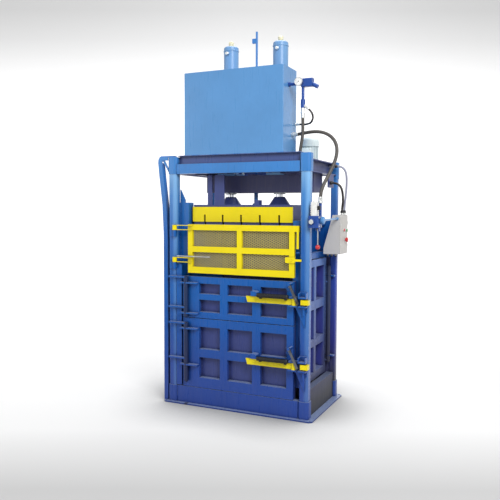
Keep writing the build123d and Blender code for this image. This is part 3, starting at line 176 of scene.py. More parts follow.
def tube_mask(add, place, axis, radius, fade, most=1.0):
    """A mask, full inside an upright tube round the axis, for what sticks to a hinge and for a painted
    highlight along one corner.
    """
    offset = add("VectorMath", {0: place, 1: (*axis, 0)}, operation="SUBTRACT")
    flat = add("VectorMath", {0: offset, 1: (1, 1, 0)}, operation="MULTIPLY")
    reach = add("VectorMath", {0: flat}, operation="LENGTH")
    return add("MapRange", {
        "Value": reach, "From Min": radius + fade, "From Max": radius, "To Max": most,
    })


def enamel(name, shades, worn, grime=0.3, roughness=0.3, wear=0.5, coat=0.2, corner_dirt=0.7, ledge=0.0,
           greased=(), recess=None, corners=()):
    """Solvent enamel sprayed over welded plate. Slow tone changes left by the gun, a faint orange peel about
    5 mm across, dust that runs down, dirt and painted shade in the corners, rubbed edges, and painted light
    by height, in recesses, on ledges and along corners."""
    material, add, place = new_material(name)
    stops = [(0.0, shades)] if isinstance(shades, str) else shades
    lowest = tint(stops[0][1])
    tone, layers = lowest, []
    # The ramp by height is partly the paint's own tone and dirt, partly painted light: lighter high up,
    # darker low down.
    if len(stops) > 1:
        height = add("SeparateXYZ", {"Vector": place}).outputs["Z"]
        low, high = stops[0][0], stops[-1][0]
        rise = add("MapRange", {"Value": height, "From Min": low, "From Max": high})
        tones = [((z - low) / (high - low), tint(shade)) for z, shade in stops]
        tone = add("ValToRGB", {"Fac": rise}, tones)
    if recess:
        # Painted shade: panels that lie back between the ribs, and other faces set back, are darker, as if in
        # shade.
        axis, start, end, shade = recess
        across = add("SeparateXYZ", {"Vector": place}).outputs[axis]
        back = add("Math", {0: across}, operation="ABSOLUTE")
        depth = add("MapRange", {"Value": back, "From Min": start, "From Max": end})
        layers.append((depth, tint(shade), "MIX"))
    # Passes of the spray gun, about 0.4 m wide.
    cloud = add("TexNoise", {"Vector": place, "Scale": 2.5, "Detail": 4.0, "Roughness": 0.55})
    passes = add("ValToRGB", {"Fac": cloud}, [(0.3, 0.87), (0.7, 1.0)])
    layers.append((1.0, passes, "MULTIPLY"))
    for axis in corners:
        # Painted highlight: the columns are paler along one corner, in a band about 40 mm wide, most at the
        # top.
        band = tube_mask(add, place, axis, 0.014, 0.022)
        upper = add("ValToRGB", {"Fac": rise}, [(0.2, 0.16), (0.6, 0.25), (0.9, 0.6)])
        highlit = add("Math", {0: band, 1: upper}, operation="MULTIPLY")
        layers.append((highlit, tint("corner_fade"), "MIX"))
    # Runs of dust, about 20 mm wide and 200 mm long.
    run_map = add("Mapping", {"Vector": place, "Scale": (50.0, 50.0, 5.0)})
    runs = add("TexNoise", {"Vector": run_map, "Scale": 1.0, "Detail": 5.0})
    film = add("ValToRGB", {"Fac": runs}, [(0.5, 0.0), (0.8, grime)])
    layers.append((film, [(a + b) / 2 for a, b in zip(lowest, (0.16, 0.15, 0.16, 1))], "MIX"))
    # Painted shade where two plates meet, within 45 mm, with the dirt that gathers there.
    shelter = add("AmbientOcclusion", {"Distance": 0.045}, samples=6).outputs["AO"]
    corner = add("ValToRGB", {"Fac": shelter}, [(0.25, corner_dirt), (0.8, 0.0)])
    layers.append((corner, tint("grease"), "MIX"))
    face = add("NewGeometry").outputs["Normal"]
    # Faces that look up are paler: partly settled dust, partly painted light from above.
    if ledge:
        upward = add("SeparateXYZ", {"Vector": face}).outputs["Z"]
        dusty_and_lit = add("ValToRGB", {"Fac": upward}, [(0.55, 0.0), (0.8, ledge)])
        layers.append((dusty_and_lit, tint("ledge_dust"), "MIX"))
    # Chips of 3 to 25 mm along the edges, where straps and gloves rub.
    bevel = add("Bevel", {"Radius": 0.0045}, samples=4)
    turn = add("VectorMath", {0: bevel, 1: face}, operation="DOT_PRODUCT")
    edge = add("ValToRGB", {"Fac": turn}, [(0.80, 1.0), (0.985, 0.0)])
    chips = add("TexNoise", {"Vector": place, "Scale": 38.0, "Detail": 6.0})
    spots = add("ValToRGB", {"Fac": chips}, [(0.50, 0.0), (0.62, wear)])
    rubbed = add("Math", {0: edge, 1: spots}, operation="MULTIPLY")
    layers.append((rubbed, tint(worn), "MIX"))
    for axis in greased:
        layers.append((tube_mask(add, place, axis, 0.0198, 0.0004, 0.8), tint("grease"), "MIX"))
    peel = add("TexNoise", {"Vector": place, "Scale": 200.0, "Detail": 2.0})
    wave = add("TexNoise", {"Vector": place, "Scale": 7.0, "Detail": 2.0})
    relief = add("Mix", {0: 0.35, 2: peel, 3: wave}, data_type="FLOAT")
    gloss = add("ValToRGB", {"Fac": runs}, [(0.35, roughness), (0.8, roughness + 0.22)])
    shader = add("BsdfPrincipled", {
        "Base Color": layered(add, tone, layers), "Roughness": gloss, "IOR": 1.5,
        "Normal": add("Bump", {"Height": relief, "Strength": 0.10, "Distance": 0.002}),
        "Specular IOR Level": 0.3, "Coat Weight": coat, "Coat Roughness": 0.16,
    })
    add("OutputMaterial", {"Surface": shader})
    return material


def bare_metal(name, shade, dulled, roughness=0.32, tarnish=0.5):
    """Turned or drawn metal, with fine tool marks along one direction and dull, fingered patches."""
    material, add, place = new_material(name)
    marks_map = add("Mapping", {"Vector": place, "Scale": (30.0, 30.0, 400.0)})
    marks = add("TexNoise", {"Vector": marks_map, "Scale": 3.0, "Detail": 3.0})
    patches = add("TexNoise", {"Vector": place, "Scale": 22.0, "Detail": 5.0})
    dull = add("ValToRGB", {"Fac": patches}, [(0.4, 0.0), (0.7, tarnish)])
    shader = add("BsdfPrincipled", {
        "Base Color": layered(add, tint(shade), [(dull, tint(dulled), "MIX")]), "Metallic": 1.0,
        "Roughness": add("ValToRGB", {"Fac": marks}, [(0.3, roughness - 0.08), (0.7, roughness + 0.12)]),
        "Normal": add("Bump", {"Height": marks, "Strength": 0.08, "Distance": 0.001}),
    })
    add("OutputMaterial", {"Surface": shader})
    return material


def moulded(name, shade, roughness=0.5, grain=900.0, relief=0.15, coat=0.0):
    """Moulded rubber or plastic: an even colour whose fine grain, about 1 mm, softens the highlights."""
    material, add, place = new_material(name)
    texture = add("TexNoise", {"Vector": place, "Scale": grain, "Detail": 2.0})
    scuffs = add("TexNoise", {"Vector": place, "Scale": 45.0, "Detail": 6.0})
    scuffed = add("ValToRGB", {"Fac": scuffs}, [(0.5, 0.0), (0.8, 0.6)])
    lighter = [min(1.0, c * 1.35 + 0.012) for c in tint(shade)[:3]] + [1.0]
    shader = add("BsdfPrincipled", {
        "Base Color": layered(add, tint(shade), [(scuffed, lighter, "MIX")]), "IOR": 1.5,
        "Roughness": add("ValToRGB", {"Fac": scuffs}, [(0.3, roughness), (0.8, roughness + 0.1)]),
        "Normal": add("Bump", {"Height": texture, "Strength": relief, "Distance": 0.0005}),
        "Coat Weight": coat, "Coat Roughness": 0.1,
    })
    add("OutputMaterial", {"Surface": shader})
    return material


# The hinge tubes of the doors and of the side door carry grease between their plates.
DOOR_TUBE, SIDE_TUBE = (-0.470, -0.422), (0.607, 0.292)
# Painted light: the shades by height make the enamel darker low down and lighter on the head, as light falls
# from above.
FRAME = {
    "shades": ((0.04, "base_blue"), (0.35, "foot_blue"), (0.95, "frame_blue"), (1.50, "frame_blue"),
               (2.10, "head_blue")),
    "worn": "edge_wear", "grime": 0.2, "roughness": 0.26, "coat": 0.15, "ledge": 0.7,
    "greased": (DOOR_TUBE, SIDE_TUBE),
}
# The chamber side of the rear wall is painted darker, as shade inside the chamber; its back is as blue as the
# frame.
WALL_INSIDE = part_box("rear_wall")[0][1]
BLUE = "Sprayed enamel, machine blue"

ENAMELS = {
    "blue enamel": {"name": BLUE, **FRAME},
    # The recess entries paint shade: the panels between the door ribs, the front beam's web, the side door's
    # panels and the chamber side of the rear wall.
    "door enamel": {
        "name": BLUE + ", dirty between the ribs", **FRAME, "recess": ("Y", 0.394, 0.352, "recess_blue")},
    "wall enamel": {
        "name": BLUE + ", dark inside the chamber", **FRAME,
        "recess": ("Y", WALL_INSIDE + 0.004, WALL_INSIDE + 0.002, "head_grime")},
    "head enamel": {
        "name": "Sprayed enamel, head blue, dirty web", **FRAME, "recess": ("Y", 0.397, 0.385, "#4a5c94")},
    "column enamel": {
        "name": BLUE + ", faded at the top",
        # The top of the front columns is painted lighter: a painted highlight.
        "shades": ((0.10, "base_blue"), (0.45, "foot_blue"), (1.00, "frame_blue"), (1.50, "frame_blue"),
                   (1.85, "head_blue"), (2.10, "column_blue")),
        "worn": "edge_wear", "grime": 0.12, "roughness": 0.22, "coat": 0.3, "ledge": 0.5,
        # corners: where the painted highlight runs down the front columns.
        "corners": ((0.652, -0.392), (-0.588, -0.392))},
    "rear enamel": {
        "name": BLUE + ", on the rear columns",
        "shades": ((0.15, "side_dirt"), (0.55, "#373d92"), (1.20, "#3452b4"), (2.10, "head_blue")),
        "worn": "edge_wear", "coat": 0.1, "ledge": 0.5},
    "side enamel": {
        "name": BLUE + ", dulled on the side",
        "shades": ((0.10, "side_dirt"), (0.45, "#4b558c"), (0.95, "#5470b0"), (1.50, "side_blue")),
        "worn": "edge_wear", "grime": 0.5, "roughness": 0.38, "wear": 0.7, "coat": 0.05, "ledge": 0.5,
        "greased": (SIDE_TUBE,), "recess": ("X", 0.578, 0.562, "#3b4290")},
    "sill enamel": {
        "name": BLUE + ", under floor dirt", "shades": ((0.10, "side_dirt"), (0.60, "#4b4f86")),
        "worn": "#6d7180", "grime": 0.7, "roughness": 0.5, "wear": 0.6, "coat": 0.0, "ledge": 0.3},
    # Painted shade: the head's side beams and the platen are painted dark, as they stand in shade; the dust
    # runs on them are real.
    "shaded enamel": {
        "name": "Sprayed enamel, head blue, dusty", "shades": "#3d4880", "worn": "#7d8cb8",
        "grime": 0.4, "roughness": 0.35, "coat": 0.1, "ledge": 0.5},
    "oily enamel": {
        "name": "Sprayed enamel under oily dust", "shades": "head_grime", "worn": "#8190b8",
        "grime": 0.4, "roughness": 0.4, "wear": 0.9, "coat": 0.1},
    "navy enamel": {
        "name": "Sprayed enamel, navy, on the relief block and valve", "shades": "#1f4c9e",
        "worn": "#8aa4d4", "wear": 0.6, "corner_dirt": 0.5, "ledge": 0.4},
    # The tank's blue is partly its own paint and partly painted glare, which makes it lighter than the frame.
    "tank enamel": {
        "name": "Sprayed enamel, tank blue", "shades": "tank_blue", "worn": "#a9c4e2",
        "grime": 0.05, "roughness": 0.26, "wear": 0.3, "coat": 0.4, "corner_dirt": 0.25},
    "cylinder enamel": {
        "name": "Sprayed enamel, cylinder blue", "shades": "cylinder_blue", "worn": "#c6d8ea",
        "grime": 0.12, "roughness": 0.28, "wear": 0.3},
    "yellow enamel": {
        "name": "Sprayed enamel, safety yellow", "shades": "gate_yellow", "worn": "#a89c34",
        "grime": 0.1, "roughness": 0.32, "wear": 0.4, "coat": 0.15, "corner_dirt": 0.5},
    "bar enamel": {
        "name": "Sprayed enamel, handled yellow", "shades": "bar_yellow", "worn": "#6d6a4a",
        "roughness": 0.4, "wear": 0.8, "coat": 0.1, "corner_dirt": 0.5},
    "mesh enamel": {
        "name": "Dipped enamel, drab mesh", "shades": "mesh_drab", "worn": "#7d7a66",
        "roughness": 0.42, "wear": 0.4, "coat": 0.1, "corner_dirt": 0.2},
    "motor enamel": {
        "name": "Sprayed enamel, motor grey-green", "shades": "motor_cyan", "worn": "#b7c4c6",
        "grime": 0.1, "roughness": 0.4, "wear": 0.3, "coat": 0.1, "corner_dirt": 0.25},
    "box enamel": {
        "name": "Powder coat, light grey", "shades": "box_grey", "worn": "#9a9ea4",
        "grime": 0.12, "roughness": 0.42, "wear": 0.2, "coat": 0.0, "corner_dirt": 0.4},
}

# Each metal: its name, colour, dulled colour, roughness and tarnish.
METALS = {
    "steel": ("Turned steel, oiled", "#b4b7bb", "#6c6f74"),
    "dark steel": ("Forged steel, scuffed", "#74777d", "#33353a", 0.4, 0.9),
    "zinc": ("Zinc-plated steel", "#e2e3e0", "#a5a9ab", 0.42),
    "chrome": ("Ground hard chrome", "#e2e4e6", "#b9bdc2", 0.16, 0.25),
    "brass": ("Cast brass, dull", "#e2dcc0", "#b5ab84", 0.42),
}

# Each moulding: its name, colour, roughness, grain scale, relief and clear coat.
MOULDINGS = {
    "hose rubber": ("Extruded nitrile rubber, hose cover", "hose_grey", 0.45, 500.0),
    "dark hose": ("Extruded nitrile rubber, brown-black", "#241d1c", 0.38, 500.0),
    "cable sleeve": ("Woven polyester sleeve, grey", "cable_grey", 0.6, 400.0, 0.4),
    "grip": ("Moulded nitrile rubber, black", "#131417", 0.36, 500.0),
    "red plastic": ("Moulded phenolic, red", "#c4161a", 0.22, 900.0, 0.15, 0.4),
    "green plastic": ("Moulded ABS, green", "#1c8a3c", 0.25, 900.0, 0.15, 0.3),
    "dial white": ("Printed tin, white", "#f3f3f0", 0.3),
    "white plastic": ("Moulded polyamide, white", "#e8e8e4", 0.4),
    "cap plastic": ("Moulded polythene cap, cream", "#e6dfbd", 0.4),
    "black plastic": ("Moulded nylon, black", "#15161a", 0.45),
}

NODE_FINISH = {
    "blue_paint": "blue enamel", "tank_paint": "tank enamel", "yellow_paint": "yellow enamel",
    "mesh_paint": "mesh enamel", "motor_paint": "motor enamel", "box_paint": "box enamel", "steel": "steel",
    "chrome": "chrome", "brass": "brass", "rubber": "hose rubber", "dial": "steel",
    "red_plastic": "red plastic", "green_plastic": "green plastic",
}
SPECIAL_FINISH = {
    "upper_door": "door enamel", "lower_door": "door enamel", "side_door": "side enamel",
    "column_front_left": "column enamel", "column_front_right": "column enamel",
    "column_rear_left": "rear enamel", "column_rear_right": "rear enamel", "rear_wall": "wall enamel",
    "floor_frame": "sill enamel", "head_side_beams": "shaded enamel", "head_cross_beams": "head enamel",
    "press_beams": "oily enamel", "platen": "shaded enamel", "cylinder_barrels": "cylinder enamel",
    "cylinder_plugs": "cap plastic", "relief_block": "navy enamel", "control_valve": "navy enamel",
    "solenoid": "white plastic", "hose_fittings": "zinc", "pins_and_bolts": "blue enamel",
    "upper_lock_lever": "bar enamel", "lower_lock_lever": "bar enamel",
    "upper_catch": "dark steel", "lower_catch": "dark steel",
}
# Each finish, made once, by its name.
FINISHES = {}


def finish(name):
    if name not in FINISHES:
        if name in ENAMELS:
            FINISHES[name] = enamel(**ENAMELS[name])
        elif name in METALS:
            FINISHES[name] = bare_metal(*METALS[name])
        else:
            FINISHES[name] = moulded(*MOULDINGS[name])
    return FINISHES[name]


def set_finish(piece, name):
    piece.data.materials.clear()
    piece.data.materials.append(finish(name))


# Modelling

# Places on the solids that more than one piece stands on, in metres.
CYLINDER_X, FLANGE_TOP, PORT_HEIGHT = 0.240, 2.050, 3.118
LOCK_HEIGHTS = (0.985, 0.458)
COVER_FACE = 0.771
UP, DOWN, LEFT, RIGHT, FRONT, REAR = (0, 0, 1), (0, 0, -1), (-1, 0, 0), (1, 0, 0), (0, -1, 0), (0, 1, 0)


def primitive(kind, **settings):
    """A primitive at its size and place, with its place in its mesh, alone in the selection."""
    bpy.ops.object.select_all(action="DESELECT")
    getattr(bpy.ops.mesh, "primitive_" + kind + "_add")(**settings)
    bpy.ops.object.transform_apply(location=True, rotation=True, scale=True)
    return bpy.context.object


def pick_faces(piece, test):
    """Edit the piece with only those faces selected that pass the test."""
    bpy.ops.object.mode_set(mode="EDIT")
    bpy.ops.mesh.select_mode(type="FACE")
    bpy.ops.mesh.select_all(action="DESELECT")
    mesh = bmesh.from_edit_mesh(piece.data)
    chosen = [face for face in mesh.faces if test(face)]
    if not chosen:
        raise RuntimeError("nothing to shape on " + piece.name)
    for face in chosen:
        face.select_set(True)
    bmesh.update_edit_mesh(piece.data)


def close_edit():
    bpy.ops.object.mode_set(mode="OBJECT")


def choose(active, *others):
    """Only these pieces are selected, and the first is active."""
    bpy.ops.object.select_all(action="DESELECT")
    for piece in (active, *others):
        piece.select_set(True)
    bpy.context.view_layer.objects.active = active


def join(active, *others):
    """One piece of several, under the first one's name."""
    choose(active, *others)
    if others:
        bpy.ops.object.join()
    return active


def modify(piece, name, kind, **settings):
    """Adds a modifier with its settings and applies it."""
    change = piece.modifiers.new(name, kind)
    for key, value in settings.items():
        setattr(change, key, value)
    bpy.ops.object.modifier_apply(modifier=change.name)


def soften(piece, width):
    """Rounded edges, then smooth shading that keeps the flats flat."""
    choose(piece)
    modify(
        piece, "Rounded edges", "BEVEL", width=width, segments=2, limit_method="ANGLE",
        angle_limit=math.radians(35))
    bpy.ops.object.shade_smooth_by_angle(angle=math.radians(40))
    return piece


def turned(profile, segments=32):
    """A turned part along +Z: a disc extruded to each height and radius of the profile in turn."""
    height, radius = profile[0]
    piece = primitive("circle", vertices=segments, radius=radius, fill_type="NGON", location=(0, 0, height))
    bpy.ops.object.mode_set(mode="EDIT")
    bpy.ops.mesh.select_all(action="SELECT")
    for z, r in profile[1:]:
        bpy.ops.mesh.extrude_region_move(TRANSFORM_OT_translate={"value": (0, 0, z - height)})
        bpy.ops.transform.resize(value=(r / radius, r / radius, 1), center_override=(0, 0, z))
        height, radius = z, r
    bpy.ops.mesh.select_all(action="SELECT")
    bpy.ops.mesh.normals_make_consistent(inside=False)
    close_edit()
    bpy.ops.object.shade_smooth_by_angle(angle=math.radians(35))
    return piece


def block(low, high, edge):
    """A plate or bar with rounded edges between two corners."""
    centre = [(a + b) / 2 for a, b in zip(low, high)]
    size = [b - a for a, b in zip(low, high)]
    return soften(primitive("cube", size=1, location=centre, scale=size), edge)


def at(place, towards=UP, spin=0.0):
    """Moves a part made along +Z to a place and a direction."""
    aim = Vector(towards).to_track_quat("Z", "Y").to_matrix().to_4x4()
    return Matrix.Translation(place) @ aim @ Matrix.Rotation(spin, 4, "Z")


def around(count, centre, radius):
    """Places spread evenly round an upright axis, each turned to face out."""
    out = Matrix.Translation((radius, 0, 0))
    turns = [Matrix.Rotation(math.tau * i / count, 4, "Z") for i in range(count)]
    return [Matrix.Translation(centre) @ turn @ out for turn in turns]


def middle(node):
    """The middle of a node's box."""
    low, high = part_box(node)
    return [(a + b) / 2 for a, b in zip(low, high)]


def copy_of(template, place):
    """A copy with its own mesh, moved to the place; the template stays."""
    twin = template.copy()
    twin.data = template.data.copy()
    twin.data.transform(place)
    bpy.context.scene.collection.objects.link(twin)
    return twin


def copies(template, places):
    """One copy for each place; the template goes."""
    made = [copy_of(template, place) for place in places]
    bpy.data.objects.remove(template)
    return made


def assemble(pieces, name, look, body="frame"):
    """Joins pieces into one, which rides on a body of the frame."""
    whole = join(*pieces)
    whole.name = name
    whole.data.name = name
    set_finish(whole, look)
    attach(whole, body)
    return whole


def fit(name, look, *parts):
    """One piece of the frame from several templates, each with its places."""
    return assemble([twin for template, places in parts for twin in copies(template, places)], name, look)


def hex_bolt(radius, height, washer=0.0022):
    """A washer with a hexagon head on it, chamfered at the top."""
    plate = turned([(0.0, radius * 1.25), (washer * 0.8, radius * 1.25), (washer, radius * 1.2)], 24)
    middle_height = washer + height / 2
    head = primitive("cylinder", vertices=6, radius=radius, depth=height, location=(0, 0, middle_height))
    pick_faces(head, lambda face: face.normal.z > 0.9)
    bpy.ops.mesh.inset(thickness=radius * 0.13)
    bpy.ops.transform.translate(value=(0, 0, radius * 0.09))
    close_edit()
    soften(head, radius * 0.05)
    return join(head, plate)


def weld_bead(run, radius, pitch):
    """A fillet weld along +Z whose ripples overlap like laid coins."""
    count = max(3, round(run / pitch))
    step = run / count
    profile = [(0.0, radius * 0.35)]
    for i in range(count):
        profile.append(((i + 0.25) * step, radius))
        profile.append(((i + 0.95) * step, radius * 0.8))
    profile.append((run, radius * 0.3))
    return turned(profile, 8)


# Hoses and cables

# Each hose: its diameter, finish, stiffness and length, and the control points of its route, in metres.
HOSES = {
    "pressure_hose": (0.026, "hose rubber", "medium", 0.565, [
        (0.546, -0.262, 2.515), (0.546, -0.262, 2.462), (0.547, -0.261, 2.400), (0.545, -0.261, 2.340),
        (0.537, -0.262, 2.285), (0.528, -0.262, 2.232), (0.520, -0.262, 2.180), (0.517, -0.239, 2.126),
        (0.517, -0.197, 2.083), (0.517, -0.142, 2.060), (0.517, -0.090, 2.060),
    ]),
    "gauge_hose": (0.016, "dark hose", "medium", 0.367, [
        (0.573, -0.262, 2.571), (0.600, -0.262, 2.5483), (0.624, -0.257, 2.519), (0.630, -0.246, 2.486),
        (0.615, -0.230, 2.456), (0.590, -0.203, 2.444), (0.552, -0.174, 2.442), (0.520, -0.146, 2.444),
        (0.490, -0.122, 2.449), (0.462, -0.110, 2.453), (0.436, -0.110, 2.453),
    ]),
    "return_hose": (0.028, "hose rubber", "medium", 0.917, [
        (0.447, -0.190, 2.360), (0.485, -0.190, 2.360), (0.530, -0.190, 2.367), (0.582, -0.193, 2.373),
        (0.638, -0.196, 2.375), (0.694, -0.200, 2.367), (0.746, -0.205, 2.346), (0.788, -0.210, 2.313),
        (0.817, -0.217, 2.268), (0.830, -0.226, 2.216), (0.827, -0.236, 2.160), (0.814, -0.250, 2.107),
        (0.797, -0.269, 2.056), (0.779, -0.293, 2.005), (0.761, -0.318, 1.956), (0.745, -0.339, 1.906),
        (0.735, -0.352, 1.854), (0.735, -0.352, 1.800),
    ]),
    "motor_cable": (0.018, "cable sleeve", "limp", 0.476, [
        (0.664, 0.280, 2.118), (0.702, 0.280, 2.118), (0.736, 0.280, 2.103), (0.758, 0.280, 2.070),
        (0.766, 0.280, 2.028), (0.768, 0.280, 1.976), (0.766, 0.280, 1.922), (0.762, 0.280, 1.868),
        (0.757, 0.280, 1.814), (0.750, 0.280, 1.762), (0.750, 0.280, 1.708),
    ]),
    "valve_cable": (0.020, "dark hose", "limp", 0.331, [
        (0.660, 0.150, 1.966), (0.694, 0.150, 1.966), (0.728, 0.152, 1.955), (0.753, 0.157, 1.929),
        (0.764, 0.163, 1.888), (0.768, 0.170, 1.840), (0.766, 0.178, 1.793), (0.756, 0.188, 1.750),
        (0.756, 0.188, 1.708),
    ]),
}


def lay_hose(name, points, diameter):
    """A round hose along the curve that its control points give."""
    curve = bpy.data.curves.new(name, "CURVE")
    curve.dimensions = "3D"
    curve.resolution_u = 10
    curve.bevel_depth = diameter / 2
    curve.bevel_resolution = 5
    curve.use_fill_caps = True
    spline = curve.splines.new("NURBS")
    spline.points.add(len(points) - 1)
    for control, place in zip(spline.points, points):
        control.co = (*place, 1.0)
    spline.order_u = 3
    spline.use_endpoint_u = True
    piece = bpy.data.objects.new(name, curve)
    bpy.context.scene.collection.objects.link(piece)
    return piece


class BALER_OT_hoses(bpy.types.Operator):
    """Lay the hydraulic hoses and the two cables along their routes"""
    bl_idname = "baler.hoses"
    bl_label = "Hoses and cables"

    def execute(self, context):
        for node, (diameter, look, stiffness, run, points) in HOSES.items():
            piece = lay_hose(node + "_run", points, diameter)
            set_finish(piece, look)
            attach(piece, "frame")
            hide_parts(node)
        return {"FINISHED"}


class BALER_OT_hose_ends(bpy.types.Operator):
    """Crimp a ribbed sleeve and a union nut on each hose end, and screw a gland on each cable end"""
    bl_idname = "baler.hose_ends"
    bl_label = "Hose ends"

    def execute(self, context):
        run = sizes().ferrule_length
        sleeves, glands = [], []
        for node, (diameter, *_, points) in HOSES.items():
            for end, inner in ((points[0], points[1]), (points[-1], points[-2])):
                away = Vector(inner) - Vector(end)
                radius = diameter / 2 + 0.0028
                if node.endswith("cable"):
                    nut = turned([
                        (-0.004, radius + 0.003), (0.010, radius + 0.003), (0.012, radius + 0.001),
                        (0.020, radius - 0.0012),
                    ], 12)
                    glands += copies(nut, [at(end, away)])
                    continue
                profile = [
                    (-0.002, radius * 0.9), (0.0, radius), (run * 0.25, radius), (run * 0.28, radius * 0.93),
                ]
                for ring in range(3):
                    z = run * (0.34 + 0.2 * ring)
                    profile += [(z, radius), (z + run * 0.11, radius), (z + run * 0.14, radius * 0.93)]
                profile.append((run, radius * 0.9))
                sleeves += copies(turned(profile), [at(end, away)])
                nut = turned([
                    (-0.016, radius * 1.12), (-0.014, radius * 1.24), (-0.003, radius * 1.24),
                    (-0.001, radius * 1.1),
                ], 6)
                sleeves += copies(nut, [at(end, away)])
        assemble(sleeves, "hose_sleeves", "zinc")
        assemble(glands, "cable_gland_nuts", "black plastic")
        return {"FINISHED"}


def opening_box(name):
    """Two corners of an opening that the record names."""
    for entry in frame["record"]["physics"]["openings"]:
        if entry["name"] == name:
            return entry["box_m"]
    raise RuntimeError("no opening called " + name)


def diamond_sheet(x0, x1, z0, z1, y):
    """Expanded sheet: one diamond ring, laid out in both directions and trimmed to its window."""
    wide, tall, strand = sizes().mesh_long_way, sizes().mesh_short_way, sizes().mesh_strand
    upright = (math.pi / 2, 0, 0)
    ring = primitive("circle", vertices=4, radius=1.0, fill_type="NGON", location=(0, 0, 0), rotation=upright)
    bpy.ops.transform.resize(value=(wide / 2, 1, tall / 2), center_override=(0, 0, 0))
    bpy.ops.object.transform_apply(location=True, rotation=True, scale=True)
    pick_faces(ring, lambda face: True)
    bpy.ops.mesh.inset(thickness=strand / 2)
    bpy.ops.mesh.delete(type="FACE")
    close_edit()
    join(ring, copy_of(ring, Matrix.Translation((wide / 2, 0, tall / 2))))
    across, up = math.ceil((x1 - x0) / wide) + 1, math.ceil((z1 - z0) / tall) + 1
    for count, offset in ((across, (wide, 0, 0)), (up, (0, 0, tall))):
        modify(
            ring, "Rows", "ARRAY", use_relative_offset=False, use_constant_offset=True, count=count,
            constant_offset_displace=offset)
    bpy.ops.transform.translate(value=(x0, y, z0))
    bpy.ops.object.transform_apply(location=True, rotation=True, scale=True)
    bpy.ops.object.mode_set(mode="EDIT")
    low, high = (x0, y, z0), (x1, y, z1)
    for place, outwards in ((low, LEFT), (high, RIGHT), (low, DOWN), (high, UP)):
        bpy.ops.mesh.select_all(action="SELECT")
        bpy.ops.mesh.bisect(plane_co=place, plane_no=outwards, clear_outer=True)
    bpy.ops.mesh.select_all(action="SELECT")
    bpy.ops.mesh.remove_doubles(threshold=0.00005)
    bpy.ops.mesh.normals_make_consistent(inside=False)
    close_edit()
    modify(ring, "Sheet", "SOLIDIFY", thickness=sizes().mesh_sheet, offset=0)
    return ring


class BALER_OT_gate_mesh(bpy.types.Operator):
    """Weld a panel of expanded metal behind each window of the feed gate"""
    bl_idname = "baler.gate_mesh"
    bl_label = "Gate mesh"

    def execute(self, context):
        low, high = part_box("gate_mesh")
        # The mesh reaches under the edge of its window by this much.
        lap = 0.0008
        panels = []
        for side in ("left", "right"):
            for row in ("lower", "upper"):
                (x0, _, z0), (x1, _, z1) = opening_box("gate_window_%s_%s" % (row, side))
                x0, z0 = max(x0 - lap, low[0]), max(z0 - lap, low[2])
                x1, z1 = min(x1 + lap, high[0]), min(z1 + lap, high[2])
                panels.append(diamond_sheet(x0, x1, z0, z1, middle("gate_mesh")[1]))
        mesh = assemble(panels, "expanded_mesh", "mesh enamel", "gate")
        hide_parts("gate_mesh")
        return {"FINISHED"}


class BALER_OT_bolts(bpy.types.Operator):
    """Set hexagon bolts on the cylinder flanges, the keepers and the tank cover"""
    bl_idname = "baler.bolts"
    bl_label = "Bolts"

    def execute(self, context):
        # Half the distances between the bolts of a flange, and from a lock's height to its keeper's foot.
        half_x, half_y, keeper_drop = 0.079, 0.088, 0.0413
        flange = [
            at((side * CYLINDER_X + dx * half_x, dy * half_y, FLANGE_TOP), spin=0.4 * dx + dy)
            for side in (-1, 1) for dx in (-1, 1) for dy in (-1, 1)
        ]
        fit("flange_bolts", "zinc", (hex_bolt(sizes().bolt_radius, 0.0125), flange))
        keepers = [at((0.630, -0.436, lock_z - keeper_drop), DOWN, 0.3) for lock_z in LOCK_HEIGHTS]
        fit("keeper_bolt_heads", "blue enamel", (hex_bolt(0.0165, 0.0105, 0.0012), keepers))
        cover_x, cover_y, cover_z, bolt_circle = -0.092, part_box("oil_tank")[1][1] - 0.0002, 2.460, 0.068
        cover = []
        for i in range(8):
            angle = math.radians(45 * i + 22.5)
            x, z = cover_x + bolt_circle * math.cos(angle), cover_z + bolt_circle * math.sin(angle)
            cover.append(at((x, cover_y, z), REAR, i))
        fit("cover_bolts", "zinc", (hex_bolt(0.0065, 0.005, 0.0012), cover))
        screw = turned([(0.0, 1.0), (0.35, 1.0), (0.6, 0.8), (0.62, 0.3), (0.45, 0.25)], 20)
        screw.data.transform(Matrix.Scale(sizes().screw_radius, 4))
        low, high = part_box("box_cover")
        inset = 0.012
        corners = [
            at((COVER_FACE, y, z), RIGHT)
            for y in (low[1] + inset, high[1] - inset) for z in (low[2] + inset, high[2] - inset)
        ]
        fit("cover_screws", "zinc", (screw, corners))
        return {"FINISHED"}


class BALER_OT_welds(bpy.types.Operator):
    """Run fillet welds along the joints of the front beam, the sill, the foot sleeves and the tank"""
    bl_idname = "baler.welds"
    bl_label = "Weld beads"

    def execute(self, context):
        # Where each bead starts, its direction and its length: the front beam and the sill against the right
        # column, then the foot sleeves on the base plate. The left side has the same.
        seams = (
            ((0.574, -0.400, 2.044), UP, 0.078), ((0.572, -0.400, 0.016), UP, 0.136),
            ((0.598, -0.4085, 0.0125), RIGHT, 0.046), ((0.606, 0.4085, 0.0125), RIGHT, 0.046),
            ((0.6685, -0.382, 0.0125), REAR, 0.046), ((0.6685, 0.348, 0.0125), REAR, 0.040),
        )
        runs = [
            ((side * x, y, z), (side * towards[0], *towards[1:]), run)
            for side in (-1, 1) for (x, y, z), towards, run in seams
        ]
        # Stitches between the tank's front and the front beam.
        runs += [((-0.430 + 0.200 * i, -0.385, 2.2005), RIGHT, 0.060) for i in range(5)]
        templates = {}
        for run in {run for _, _, run in runs}:
            templates[run] = weld_bead(run, sizes().weld_radius, sizes().weld_pitch)
        beads = [copy_of(templates[run], at(place, towards)) for place, towards, run in runs]
        for template in templates.values():
            bpy.data.objects.remove(template)
        assemble(beads, "weld_beads", "blue enamel")
        return {"FINISHED"}


